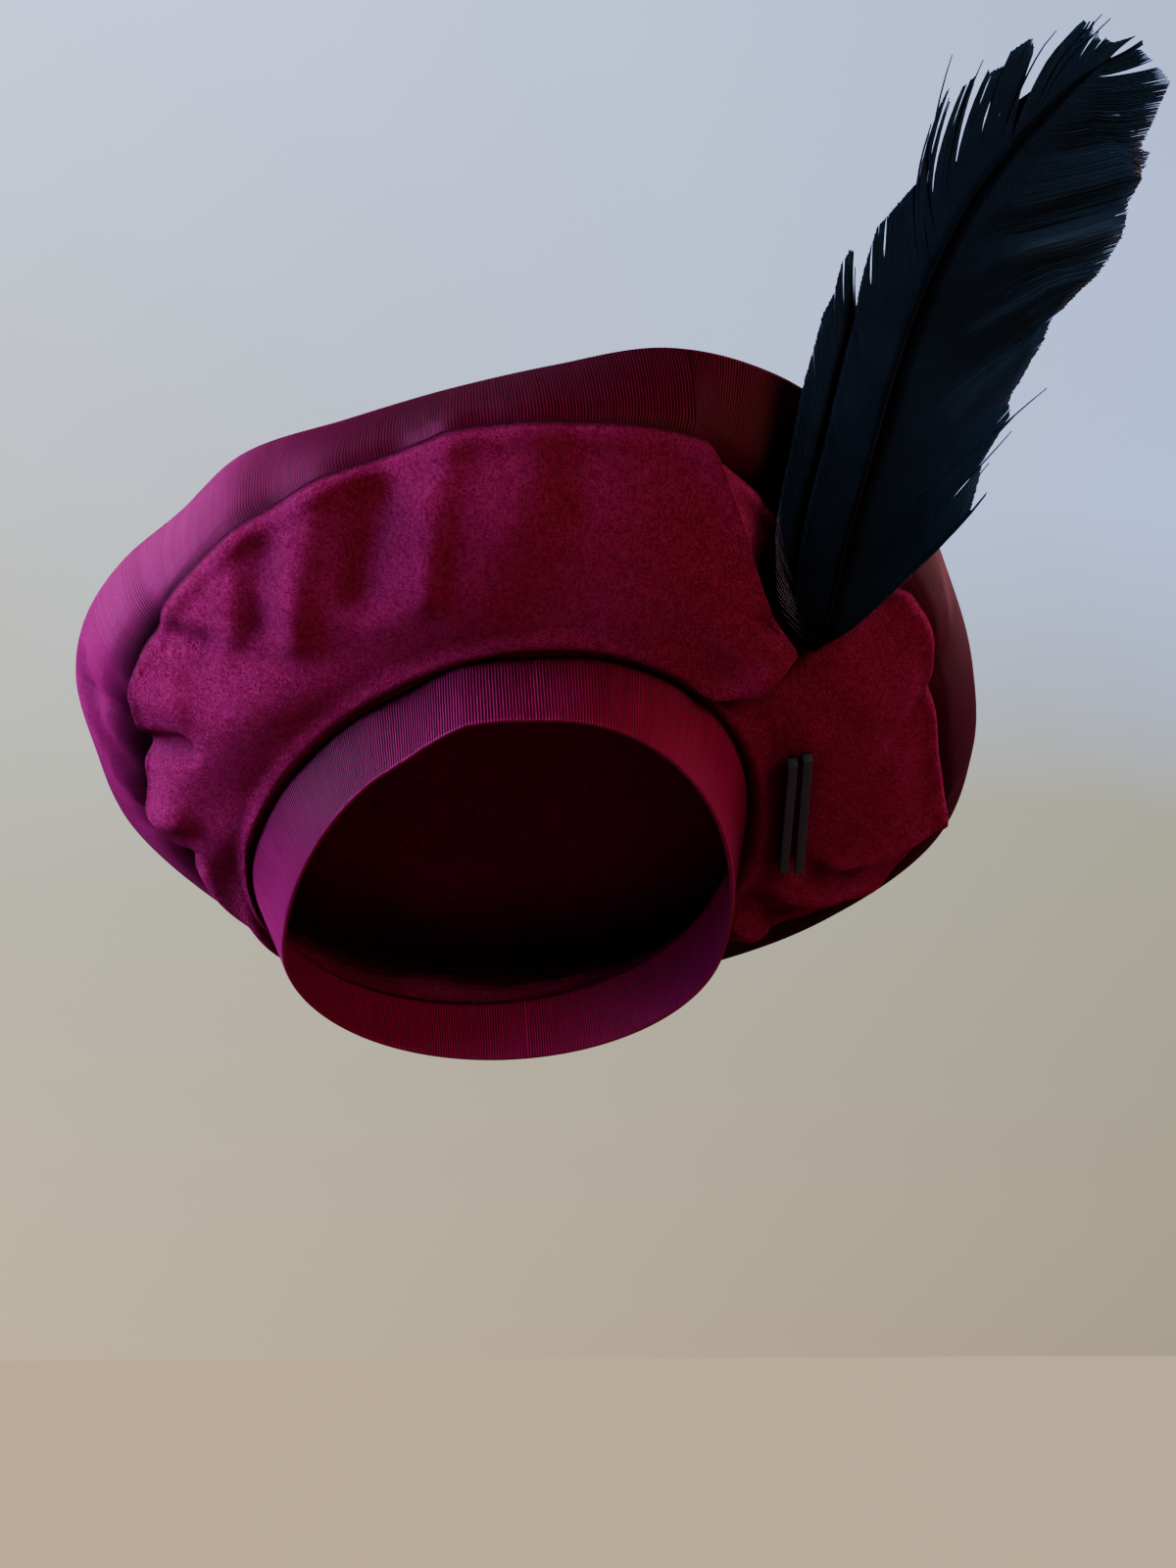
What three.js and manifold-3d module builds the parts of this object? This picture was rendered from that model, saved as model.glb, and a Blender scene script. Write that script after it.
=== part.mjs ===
import * as THREE from "three";
import { mergeVertices } from "three/addons/utils/BufferGeometryUtils.js";
import loadManifold from "manifold-3d";

// Tilt hat: a felt crown with a grosgrain rim on a narrow head band, two feathers in a pleat, two bars.
// Sizes are in millimetres and angles in degrees. In the hat's own frame the origin is the middle of the head
// opening at the band's lower edge, the front is -Y, the wearer's left is +X and the hat's axis is +Z.
// Angles round the hat start at the front and grow toward the wearer's left.
const LEAN_BACK = 38;
const LIFT_LEFT = 5;
const FELT = 2;
const RIBBON = 1.2;
const GAP = 0.3;
const TOP_GAP = 0.6;

// Head band: an oval of two half ellipses at its lower edge and another at its upper edge.
// x and front place the oval's middle, ahead and behind are its two half lengths.
const BAND = { tall: 25, thick: 1.6 };
const LOWER_OVAL = { half: 76, ahead: 124, behind: 72, x: -2, front: -31, turn: 11 };
const UPPER_OVAL = { half: 82, ahead: 112, behind: 88, x: -4, front: -16, turn: 24 };

// Crown: the felt meets the rim ribbon at the seam, and the ribbon meets the crown top at the edge.
// r is the distance from the hat's axis and h the height above the opening, at each angle round the hat.
const CROWN = [
  { at: -180, seamR: 114, seamH: 39, edgeR: 152, edgeH: 60 },
  { at: -150, seamR: 112, seamH: 40, edgeR: 146, edgeH: 66 },
  { at: -125, seamR: 111, seamH: 42, edgeR: 141, edgeH: 71 },
  { at: -105, seamR: 114, seamH: 44, edgeR: 142, edgeH: 75 },
  { at: -88, seamR: 118, seamH: 45, edgeR: 140, edgeH: 76 },
  { at: -72, seamR: 124, seamH: 46, edgeR: 145, edgeH: 78 },
  { at: -62, seamR: 130, seamH: 47, edgeR: 146, edgeH: 80 },
  { at: -51, seamR: 137, seamH: 49, edgeR: 144, edgeH: 82 },
  { at: -40, seamR: 142, seamH: 51, edgeR: 140, edgeH: 85 },
  { at: -28, seamR: 147, seamH: 53, edgeR: 143, edgeH: 88 },
  { at: -14, seamR: 151, seamH: 55, edgeR: 139, edgeH: 90 },
  { at: 0, seamR: 158, seamH: 57, edgeR: 142, edgeH: 92 },
  { at: 12, seamR: 161, seamH: 57, edgeR: 151, edgeH: 92 },
  { at: 24, seamR: 162, seamH: 58, edgeR: 164, edgeH: 93 },
  { at: 36, seamR: 158, seamH: 57, edgeR: 168, edgeH: 93 },
  { at: 48, seamR: 157, seamH: 56, edgeR: 167, edgeH: 92 },
  { at: 62, seamR: 157, seamH: 55, edgeR: 166, edgeH: 90 },
  { at: 75, seamR: 155, seamH: 50, edgeR: 165, edgeH: 87 },
  { at: 90, seamR: 154, seamH: 47, edgeR: 170, edgeH: 83 },
  { at: 103, seamR: 159, seamH: 45, edgeR: 177, edgeH: 78 },
  { at: 118, seamR: 150, seamH: 46, edgeR: 181, edgeH: 69 },
  { at: 135, seamR: 132, seamH: 46, edgeR: 167, edgeH: 60 },
  { at: 155, seamR: 118, seamH: 42, edgeR: 154, edgeH: 57 },
];
// The underside leaves the band almost level and turns up toward the seam.
const PUFF = { reach: 0.62, sag: 1.5 };
const RIBBON_BOW = 2;
// Folds fade out over this share of a sheet's width where it is sewn down.
const SEWN = { underside: 0.12, ribbon: 0.2 };
// Middle of the crown top, and how sharply its cut edge turns to lie along the ribbon.
const CROWN_TOP = { x: 15, front: -3, tall: 88, dome: 2, edgeTurn: 4 };

// Folds of the underside: a line from one place to another, given as angle and share of the way from band
// to seam, its half width, and how far it stands out of the felt, less than zero for a hollow.
const FELT_ROUND = 125;
const FELT_DEEP = 75;
const FOLDS = [
  { from: [-20, 0.98], to: [-34, 0.58], wide: 8, lift: 2.6 },
  { from: [1, 0.98], to: [-5, 0.5], wide: 6.5, lift: 3.2 },
  { from: [-10, 0.97], to: [-17, 0.55], wide: 8, lift: -3.2 },
  { from: [-27, 0.95], to: [-31, 0.78], wide: 6, lift: -2 },
  { from: [-4, 0.92], to: [-8, 0.62], wide: 4, lift: -1.6 },
  { from: [13, 0.97], to: [14, 0.66], wide: 7, lift: -1.4 },
  { from: [-48, 1.0], to: [-42, 0.75], wide: 5, lift: -4 },
  { from: [-71, 1.0], to: [-62, 0.58], wide: 5, lift: -6 },
  { from: [-100, 1.0], to: [-93, 0.6], wide: 6, lift: -4 },
  { from: [-58, 0.92], to: [-55, 0.7], wide: 9, lift: 4 },
  { from: [-85, 0.88], to: [-80, 0.6], wide: 9, lift: 4 },
  { from: [78, 0.97], to: [82, 0.72], wide: 7, lift: -3 },
  { from: [71, 0.3], to: [74, 0.22], wide: 7, lift: 2.5 },
  { from: [106, 0.97], to: [107, 0.5], wide: 6, lift: 4 },
  { from: [112, 0.92], to: [112, 0.72], wide: 5, lift: -3 },
  { from: [118, 0.85], to: [116, 0.3], wide: 8, lift: 6 },
  { from: [126, 0.7], to: [124, 0.4], wide: 5, lift: -4 },
  { from: [128, 0.18], to: [131, 0.5], wide: 7, lift: 5 },
  { from: [142, 0.35], to: [140, 0.75], wide: 8, lift: -6 },
];
// Wrinkles of the rim ribbon, given the same way from the seam to the edge.
const RIBBON_ROUND = 145;
const RIBBON_DEEP = 38;
const WRINKLES = [
  { from: [-66, 0.95], to: [-82, 0.35], wide: 4, lift: -1.6 },
  { from: [-72, 0.9], to: [-90, 0.4], wide: 4, lift: 1.4 },
  { from: [-76, 0.1], to: [-64, 0.35], wide: 5, lift: -2 },
  { from: [70, 0.5], to: [76, 0.5], wide: 7, lift: 1 },
];

// Pleat: a crease leaves the band, bends round the tuck and becomes the ridge that runs up to the rim.
// Beyond the ridge the felt sinks into a valley that opens toward the rim and ends at a second ridge.
const PLEAT = {
  ridgeAtRim: 26,
  ridgeRun: 34,
  ridgeHook: 11,
  hookFades: 0.055,
  creaseAtBand: 45,
  creaseRun: 11,
  creaseTurns: 0.34,
  farRidge: 56,
  farSpread: 6.5,
  farBend: 3,
  narrowest: 2,
  tuck: 0.44,
  opensBelow: 0.08,
  opensAbove: 0.14,
  deep: 15,
  steep: 0.4,
  stepRun: 0.4,
  leansFrom: -10,
  leansTo: 90,
  lip: 3.5,
  lipFades: 14,
  hollow: 4,
  hollowFades: 9,
  farLip: 0.5,
  farLipFades: 12,
};

// Points round the rim: each stretch runs from one angle to the next in equal steps.
const STRETCHES = [
  { from: -180, to: -10, steps: 42 },
  { from: -10, to: 26, steps: 10 },
  { from: 26, to: 62.5, steps: 12 },
  { from: 62.5, to: 90, steps: 8 },
  { from: 90, to: 180, steps: 22 },
];
const UNDERSIDE_ROWS = 10;
const RIBBON_ROWS = 4;
const BAND_ROWS = 1;
const TOP_ROWS = 5;

// Feathers, in the worn hat's frame. A row of barbs gives where along the shaft the barbs leave it, how long
// they are on each side, and their angle from the shaft.
const SHAFT = [
  { x: 99.4, y: -37.4, z: 80.4 },
  { x: 102.5, y: -44, z: 90 },
  { x: 107, y: -53, z: 112 },
  { x: 113, y: -58, z: 134 },
  { x: 123.5, y: -61, z: 171 },
  { x: 133, y: -63, z: 195 },
  { x: 146.5, y: -64, z: 219 },
  { x: 173, y: -65, z: 248 },
  { x: 185, y: -65, z: 257 },
];
const FRONT_BARBS = [
  { along: 1, left: 30, leftAngle: 28, right: 50, rightAngle: 30 },
  { along: 36, left: 38, leftAngle: 27, right: 72, rightAngle: 32 },
  { along: 75, left: 46, leftAngle: 28, right: 78, rightAngle: 32 },
  { along: 115, left: 51, leftAngle: 28, right: 78, rightAngle: 32 },
  { along: 155, left: 50, leftAngle: 27, right: 62, rightAngle: 34 },
  { along: 195, left: 30, leftAngle: 30, right: 30, rightAngle: 38 },
  { along: 219, left: 12, leftAngle: 24, right: 12, rightAngle: 24 },
];
const BACK_BARBS = [
  { along: 9, left: 40, leftAngle: 30, right: 50, rightAngle: 28 },
  { along: 36, left: 48, leftAngle: 27, right: 74, rightAngle: 33 },
  { along: 75, left: 50, leftAngle: 26, right: 82, rightAngle: 33 },
  { along: 115, left: 46, leftAngle: 26, right: 82, rightAngle: 33 },
  { along: 155, left: 42, leftAngle: 26, right: 64, rightAngle: 35 },
  { along: 185, left: 26, leftAngle: 26, right: 36, rightAngle: 35 },
  { along: 207, left: 14, leftAngle: 24, right: 14, rightAngle: 24 },
];
const FEATHER = { locks: 14, thick: 1, sweep: 0.28, notch: 0.1, uneven: 0.04, unevenTurn: 2.4 };
const QUILL = { root: 1.1, tip: 0.45, sides: 6, rings: 9, bare: 1 };
const BACK_FEATHER = { left: 3.5, behind: 3.4, from: 79.5, over: 35 };

// Bars, in the hat's own frame: each lies along a line between two distances from the hat's axis.
const BAR = { thick: 3.2, from: 72, to: 106.5, clear: 0.4, spots: 20 };
const LEFT_BAR = { fromR: 102.9, toR: 99.8 };
const RIGHT_BAR = { fromR: 108, toR: 105.4 };
const HALVINGS = 30;

const LOOKS = {
  felt: new THREE.MeshStandardMaterial({ color: 0x6e1030, roughness: 0.95, metalness: 0 }),
  grosgrain: new THREE.MeshStandardMaterial({ color: 0x6c1c44, roughness: 0.7, metalness: 0 }),
  feather: new THREE.MeshStandardMaterial({ color: 0x0a0f1a, roughness: 0.55, metalness: 0 }),
  bar: new THREE.MeshStandardMaterial({ color: 0x2c2e30, roughness: 0.5, metalness: 0 }),
};

const wasm = await loadManifold();
wasm.setup();

const { clamp, lerp, smoothstep, degToRad } = THREE.MathUtils;

function polar(deg, r, h) {
  const angle = degToRad(deg);
  return new THREE.Vector3(r * Math.sin(angle), -r * Math.cos(angle), h);
}

// Distance from the hat's axis to an oval at one angle. The ray from the axis meets each half ellipse once.
function ovalRadius(oval, deg) {
  const turn = degToRad(oval.turn);
  const angle = degToRad(deg) - turn;
  const midX = oval.x * Math.cos(turn) - oval.front * Math.sin(turn);
  const midFront = oval.x * Math.sin(turn) + oval.front * Math.cos(turn);
  const meet = (length) => {
    const a = (Math.sin(angle) / oval.half) ** 2 + (Math.cos(angle) / length) ** 2;
    const b = (Math.sin(angle) * midX) / oval.half ** 2 + (Math.cos(angle) * midFront) / length ** 2;
    const c = (midX / oval.half) ** 2 + (midFront / length) ** 2 - 1;
    return (b + Math.sqrt(b * b - a * c)) / a;
  };
  const ahead = meet(oval.ahead);
  return ahead * Math.cos(angle) >= midFront ? ahead : meet(oval.behind);
}

// Smooth closed curve through the rows of the crown table, with each row's slope from its two neighbours.
function crown(name, deg) {
  const count = CROWN.length;
  const row = (i) => CROWN[(i + count) % count][name];
  const place = (i) => CROWN[(i + count) % count].at + 360 * Math.floor(i / count);
  const turned = THREE.MathUtils.euclideanModulo(deg + 180, 360) - 180;
  let i = 0;
  while (i < count - 1 && CROWN[i + 1].at <= turned) i += 1;
  const slope = (k) => (row(k + 1) - row(k - 1)) / (place(k + 1) - place(k - 1));
  const span = place(i + 1) - place(i);
  const u = (turned - place(i)) / span;
  const before = (2 * u ** 3 - 3 * u ** 2 + 1) * row(i) + (u ** 3 - 2 * u ** 2 + u) * span * slope(i);
  return before + (3 * u ** 2 - 2 * u ** 3) * row(i + 1) + (u ** 3 - u ** 2) * span * slope(i + 1);
}

// Sum of the soft ridges and hollows of a table at one place, on a sheet laid out flat.
function foldLift(folds, round, deep, deg, share) {
  const flat = ([at, part]) => new THREE.Vector3(degToRad(at) * round, part * deep, 0);
  const here = flat([deg, share]);
  let lift = 0;
  for (const fold of folds) {
    const line = new THREE.Line3(flat(fold.from), flat(fold.to));
    const nearest = line.closestPointToPoint(here, true, new THREE.Vector3());
    lift += fold.lift * Math.exp(-((here.distanceTo(nearest) / fold.wide) ** 2));
  }
  return lift;
}

function pleatFarEdge(share) {
  const open = clamp((share - PLEAT.tuck) / (1 - PLEAT.tuck), 0, 1);
  return PLEAT.farRidge + PLEAT.farSpread * open ** PLEAT.farBend;
}

// Angle of the crease near the band and of the ridge beyond the tuck.
function pleatEdge(share) {
  const bend = 1 - clamp(share / PLEAT.creaseTurns, 0, 1);
  const crease = PLEAT.creaseAtBand + PLEAT.creaseRun * (1 - bend ** 2);
  const hook = PLEAT.ridgeHook * Math.exp(-Math.max(share - PLEAT.tuck, 0) / PLEAT.hookFades);
  const ridge = PLEAT.ridgeAtRim + PLEAT.ridgeRun * (1 - share) + hook;
  return Math.min(crease, ridge, pleatFarEdge(share) - PLEAT.narrowest);
}

// Angle on the underside of the column of points that ends at an angle on the rim. The columns lean with the
// pleat, so that one of them runs along each of its two edges.
function leaning(at, share) {
  const { leansFrom, leansTo } = PLEAT;
  const rimEdges = [leansFrom, pleatEdge(1), pleatFarEdge(1), leansTo];
  const edges = [leansFrom, pleatEdge(share), pleatFarEdge(share), leansTo];
  for (let i = 0; i < 3; i += 1) {
    if (at >= rimEdges[i] && at <= rimEdges[i + 1]) {
      return THREE.MathUtils.mapLinear(at, rimEdges[i], rimEdges[i + 1], edges[i], edges[i + 1]);
    }
  }
  return at;
}

function pleatLift(deg, share) {
  const near = pleatEdge(share);
  const far = pleatFarEdge(share);
  const opened = smoothstep(share, PLEAT.tuck - PLEAT.opensBelow, PLEAT.tuck + PLEAT.opensAbove);
  if (deg < near) {
    return PLEAT.lip * Math.exp((deg - near) / PLEAT.lipFades);
  }
  if (deg < far) {
    const across = (deg - near) / (far - near);
    const valley = -PLEAT.deep * Math.sin(Math.PI * across) ** PLEAT.steep;
    const step = lerp(PLEAT.lip, -PLEAT.hollow, smoothstep(across, 0, PLEAT.stepRun));
    return lerp(step, valley + lerp(PLEAT.lip, PLEAT.farLip, across), opened);
  }
  const beyond = deg - far;
  const hollow = -PLEAT.hollow * Math.exp(-beyond / PLEAT.hollowFades);
  return lerp(hollow, PLEAT.farLip * Math.exp(-beyond / PLEAT.farLipFades), opened);
}

// One place on the underside's outer face: its distance and height, and the way out of the felt.
function undersidePlace(deg, share) {
  const start = new THREE.Vector2(ovalRadius(UPPER_OVAL, deg), BAND.tall + GAP);
  const end = new THREE.Vector2(crown("seamR", deg), crown("seamH", deg));
  const hold = new THREE.Vector2(lerp(start.x, end.x, PUFF.reach), BAND.tall - PUFF.sag);
  const profile = new THREE.QuadraticBezierCurve(start, hold, end);
  const along = profile.getTangent(share);
  const out = new THREE.Vector2(along.y, -along.x);
  const calm = smoothstep(share, 0, SEWN.underside);
  const folds = foldLift(FOLDS, FELT_ROUND, FELT_DEEP, deg, share);
  const lift = calm * (folds + pleatLift(deg, share));
  return { place: profile.getPoint(share).addScaledVector(out, lift), out };
}

// One place on the rim ribbon's outer face. The ribbon starts on the felt's inner face.
function ribbonPlace(deg, share) {
  const seam = undersidePlace(deg, 1);
  const start = seam.place.clone().addScaledVector(seam.out, -FELT - GAP);
  const end = new THREE.Vector2(crown("edgeR", deg), crown("edgeH", deg));
  const along = end.clone().sub(start).normalize();
  const out = new THREE.Vector2(along.y, -along.x);
  const bow = RIBBON_BOW * 4 * share * (1 - share);
  const calm = smoothstep(share, 0, SEWN.ribbon) * smoothstep(1 - share, 0, SEWN.ribbon);
  const lift = bow + calm * foldLift(WRINKLES, RIBBON_ROUND, RIBBON_DEEP, deg, share);
  return { place: start.lerp(end, share).addScaledVector(out, lift), out, along };
}

function bandPlace(deg, share) {
  const start = new THREE.Vector2(ovalRadius(LOWER_OVAL, deg), 0);
  const end = new THREE.Vector2(ovalRadius(UPPER_OVAL, deg), BAND.tall);
  const along = end.clone().sub(start).normalize();
  return { place: start.lerp(end, share), out: new THREE.Vector2(along.y, -along.x) };
}

// One closed body from a front face, the face behind it and a wall along every open edge.
function sheetSolid(front, back, triangles) {
  const edges = new Set();
  for (const [a, b, c] of triangles) {
    edges.add(`${a},${b}`).add(`${b},${c}`).add(`${c},${a}`);
  }
  const faces = [];
  const behind = front.length;
  for (const [a, b, c] of triangles) {
    faces.push([a, b, c], [a + behind, c + behind, b + behind]);
  }
  for (const edge of edges) {
    const [p, q] = edge.split(",").map(Number);
    if (!edges.has(`${q},${p}`)) {
      faces.push([q, p, p + behind], [q, p + behind, q + behind]);
    }
  }
  const geometry = new THREE.BufferGeometry().setFromPoints([...front, ...back]);
  geometry.setIndex(faces.flat());
  return geometry;
}

const ANGLES = STRETCHES.flatMap(({ from, to, steps }) => {
  return Array.from({ length: steps }, (_, i) => lerp(from, to, i / steps));
});

// Triangles of a sheet that goes all the way round, row by row.
function roundTriangles(rows) {
  const count = ANGLES.length;
  const triangles = [];
  for (let row = 0; row < rows; row += 1) {
    for (let i = 0; i < count; i += 1) {
      const a = row * count + i;
      const b = row * count + ((i + 1) % count);
      triangles.push([a, b, b + count], [a, b + count, a + count]);
    }
  }
  return triangles;
}

// A ring of cloth with its outer face given by a function of angle and share of its width.
function clothRing(placeOf, rows, thick, angleOf = (at) => at) {
  const front = [];
  const back = [];
  for (let row = 0; row <= rows; row += 1) {
    for (const at of ANGLES) {
      const deg = angleOf(at, row / rows);
      const { place, out } = placeOf(deg, row / rows);
      front.push(polar(deg, place.x, place.y));
      back.push(polar(deg, place.x - thick * out.x, place.y - thick * out.y));
    }
  }
  return sheetSolid(front, back, roundTriangles(rows));
}

// The crown top lies inside the ribbon, level with its edge, and rises a little to its middle.
function crownTop() {
  const middle = new THREE.Vector3(CROWN_TOP.x, -CROWN_TOP.front, CROWN_TOP.tall);
  const front = [];
  const back = [];
  for (let row = 0; row < TOP_ROWS; row += 1) {
    const share = 1 - row / TOP_ROWS;
    for (const deg of ANGLES) {
      const { place, out, along } = ribbonPlace(deg, 1);
      const top = place.clone().addScaledVector(out, -RIBBON - TOP_GAP);
      const low = top.clone().addScaledVector(along, -FELT);
      const rimTop = polar(deg, top.x, top.y);
      const drop = polar(deg, low.x, low.y).sub(rimTop);
      const point = middle.clone().lerp(rimTop, share);
      point.z = lerp(middle.z, rimTop.z, share ** CROWN_TOP.dome);
      front.push(point);
      drop.lerp(new THREE.Vector3(0, 0, -FELT), 1 - share ** CROWN_TOP.edgeTurn);
      back.push(point.clone().add(drop));
    }
  }
  front.push(middle);
  back.push(middle.clone().setZ(middle.z - FELT));
  const triangles = roundTriangles(TOP_ROWS - 1);
  const last = (TOP_ROWS - 1) * ANGLES.length;
  for (let i = 0; i < ANGLES.length; i += 1) {
    triangles.push([last + i, last + ((i + 1) % ANGLES.length), front.length - 1]);
  }
  return sheetSolid(front, back, triangles);
}

// Value of a named column of a barb table at a distance along the shaft.
function barbs(table, name, along) {
  let i = 0;
  while (i < table.length - 2 && table[i + 1].along < along) i += 1;
  const share = clamp((along - table[i].along) / (table[i + 1].along - table[i].along), 0, 1);
  return lerp(table[i][name], table[i + 1][name], share);
}

// A place on a feather: along its shaft and across it. Past the shaft's end it goes straight on.
function featherPlace(shaft, along, across) {
  const length = shaft.getLength();
  const reach = clamp(along / length, 0, 1);
  const ahead = shaft.getTangentAt(reach);
  const place = shaft.getPointAt(reach).addScaledVector(ahead, along - reach * length);
  const side = new THREE.Vector3(ahead.z, 0, -ahead.x).normalize();
  place.addScaledVector(side, across);
  place.y += FEATHER.sweep * across;
  return place;
}

// The vane: locks of barbs on both sides of the shaft, joined along it, with notches between their tips.
function vane(shaft, table) {
  const start = table[0].along;
  const end = table[table.length - 1].along;
  const front = [];
  const triangles = [];
  const add = (along, across) => front.push(featherPlace(shaft, along, across)) - 1;
  const roots = [];
  for (let i = 0; i <= FEATHER.locks; i += 1) {
    roots.push(lerp(start, end, i / FEATHER.locks));
  }
  const middle = roots.map((root) => add(root, 0));
  const lastLines = [];
  for (const [name, side] of [["left", -1], ["right", 1]]) {
    const barb = (root, part) => {
      const angle = degToRad(barbs(table, `${name}Angle`, root));
      const long = barbs(table, name, root) * part;
      return add(root + long * Math.cos(angle), side * long * Math.sin(angle));
    };
    const lines = roots.map((root, i) => {
      return [middle[i], barb(root, 0.5), barb(root, 1 - FEATHER.notch)];
    });
    const turn = (a, b, c) => triangles.push(side > 0 ? [a, b, c] : [a, c, b]);
    for (let i = 0; i < FEATHER.locks; i += 1) {
      const [a, b] = [lines[i], lines[i + 1]];
      turn(a[0], a[1], b[0]);
      turn(a[1], b[1], b[0]);
      turn(a[1], a[2], b[1]);
      turn(a[2], b[2], b[1]);
      const uneven = 1 + FEATHER.uneven * Math.sin(FEATHER.unevenTurn * i);
      turn(a[2], barb((roots[i] + roots[i + 1]) / 2, uneven), b[2]);
    }
    lastLines.push(lines[FEATHER.locks]);
  }
  const [left, right] = lastLines;
  triangles.push([right[0], right[1], left[1]]);
  triangles.push([left[1], right[1], right[2]], [left[1], right[2], left[2]]);
  const back = front.map((point) => point.clone().setY(point.y + FEATHER.thick));
  return sheetSolid(front, back, triangles);
}

// The quill: a round tapering rod with closed ends, half sunk in the vane.
function quill(shaft, start, end) {
  const points = [];
  const faces = [];
  const sunk = FEATHER.thick / 2;
  for (let ring = 0; ring < QUILL.rings; ring += 1) {
    const share = ring / (QUILL.rings - 1);
    const centre = featherPlace(shaft, lerp(start, end, share), 0);
    const radius = lerp(QUILL.root, QUILL.tip, share);
    for (let i = 0; i < QUILL.sides; i += 1) {
      const angle = (2 * Math.PI * i) / QUILL.sides;
      const swing = new THREE.Vector3(radius * Math.cos(angle), sunk + radius * Math.sin(angle), 0);
      points.push(centre.clone().add(swing));
    }
  }
  for (let ring = 0; ring < QUILL.rings - 1; ring += 1) {
    for (let i = 0; i < QUILL.sides; i += 1) {
      const a = ring * QUILL.sides + i;
      const b = ring * QUILL.sides + ((i + 1) % QUILL.sides);
      faces.push([a, b, b + QUILL.sides], [a, b + QUILL.sides, a + QUILL.sides]);
    }
  }
  const top = (QUILL.rings - 1) * QUILL.sides;
  for (let i = 1; i < QUILL.sides - 1; i += 1) {
    faces.push([0, i + 1, i], [top, top + i, top + i + 1]);
  }
  const geometry = new THREE.BufferGeometry().setFromPoints(points);
  geometry.setIndex(faces.flat());
  return geometry;
}

function toSolid(geometry) {
  const merged = mergeVertices(geometry);
  const vertProperties = new Float32Array(merged.attributes.position.array);
  const triVerts = new Uint32Array(merged.index.array);
  return new wasm.Manifold(new wasm.Mesh({ numProp: 3, vertProperties, triVerts }));
}

function joined(first, second) {
  const mesh = toSolid(first).add(toSolid(second)).getMesh();
  const geometry = new THREE.BufferGeometry();
  geometry.setAttribute("position", new THREE.BufferAttribute(mesh.vertProperties, 3));
  geometry.setIndex(new THREE.BufferAttribute(mesh.triVerts, 1));
  return geometry;
}

function feather(table, left, behind) {
  const points = SHAFT.map(({ x, y, z }) => {
    const share = clamp((z - BACK_FEATHER.from) / BACK_FEATHER.over, 0, 1);
    return new THREE.Vector3(x - left * share, y + behind, z);
  });
  const shaft = new THREE.CatmullRomCurve3(points);
  const first = table[0].along - QUILL.bare;
  return joined(vane(shaft, table), quill(shaft, first, table[table.length - 1].along));
}

// A square bar that lies across the underside, just clear of the lowest felt above it.
function barMesh(name, { fromR, toR }) {
  const ends = [polar(BAR.from, fromR, 0), polar(BAR.to, toR, 0)];
  const middle = ends[0].clone().lerp(ends[1], 0.5);
  const along = ends[1].clone().sub(ends[0]);
  let lowest = Infinity;
  for (let i = 0; i <= BAR.spots; i += 1) {
    const spot = ends[0].clone().addScaledVector(along, i / BAR.spots);
    const deg = THREE.MathUtils.radToDeg(Math.atan2(spot.x, -spot.y));
    for (const reach of [-BAR.thick, 0, BAR.thick]) {
      lowest = Math.min(lowest, undersideHeight(deg, Math.hypot(spot.x, spot.y) + reach / 2));
    }
  }
  const mesh = new THREE.Mesh(new THREE.BoxGeometry(BAR.thick, along.length(), BAR.thick), LOOKS.bar);
  mesh.name = name;
  mesh.rotation.z = Math.atan2(-along.x, along.y);
  mesh.position.set(middle.x, middle.y, lowest - BAR.clear - BAR.thick / 2);
  return mesh;
}

// Height of the underside's outer face at an angle and distance, found by halving.
function undersideHeight(deg, radius) {
  let near = 0;
  let far = 1;
  for (let i = 0; i < HALVINGS; i += 1) {
    const share = (near + far) / 2;
    if (undersidePlace(deg, share).place.x < radius) near = share;
    else far = share;
  }
  return undersidePlace(deg, near).place.y;
}

function mesh(name, geometry, look) {
  const made = new THREE.Mesh(geometry, look);
  made.name = name;
  return made;
}

const hat = new THREE.Group();
const worn = new THREE.Group();
worn.rotation.set(-degToRad(LEAN_BACK), -degToRad(LIFT_LEFT), 0, "YXZ");
worn.add(
  mesh("crown_top", crownTop(), LOOKS.felt),
  mesh("rim_ribbon", clothRing(ribbonPlace, RIBBON_ROWS, RIBBON), LOOKS.grosgrain),
  mesh("underside", clothRing(undersidePlace, UNDERSIDE_ROWS, FELT, leaning), LOOKS.felt),
  mesh("head_band", clothRing(bandPlace, BAND_ROWS, BAND.thick), LOOKS.grosgrain),
  barMesh("bar_left", LEFT_BAR),
  barMesh("bar_right", RIGHT_BAR),
);
hat.add(
  worn,
  mesh("feather_front", feather(FRONT_BARBS, 0, 0), LOOKS.feather),
  mesh("feather_back", feather(BACK_BARBS, BACK_FEATHER.left, BACK_FEATHER.behind), LOOKS.feather),
);

export default hat;
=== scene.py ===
"""Looks of the tilt hat: felt, ribbed ribbon, feathers barb by barb, bars, lights and camera."""
import math
import random

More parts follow.
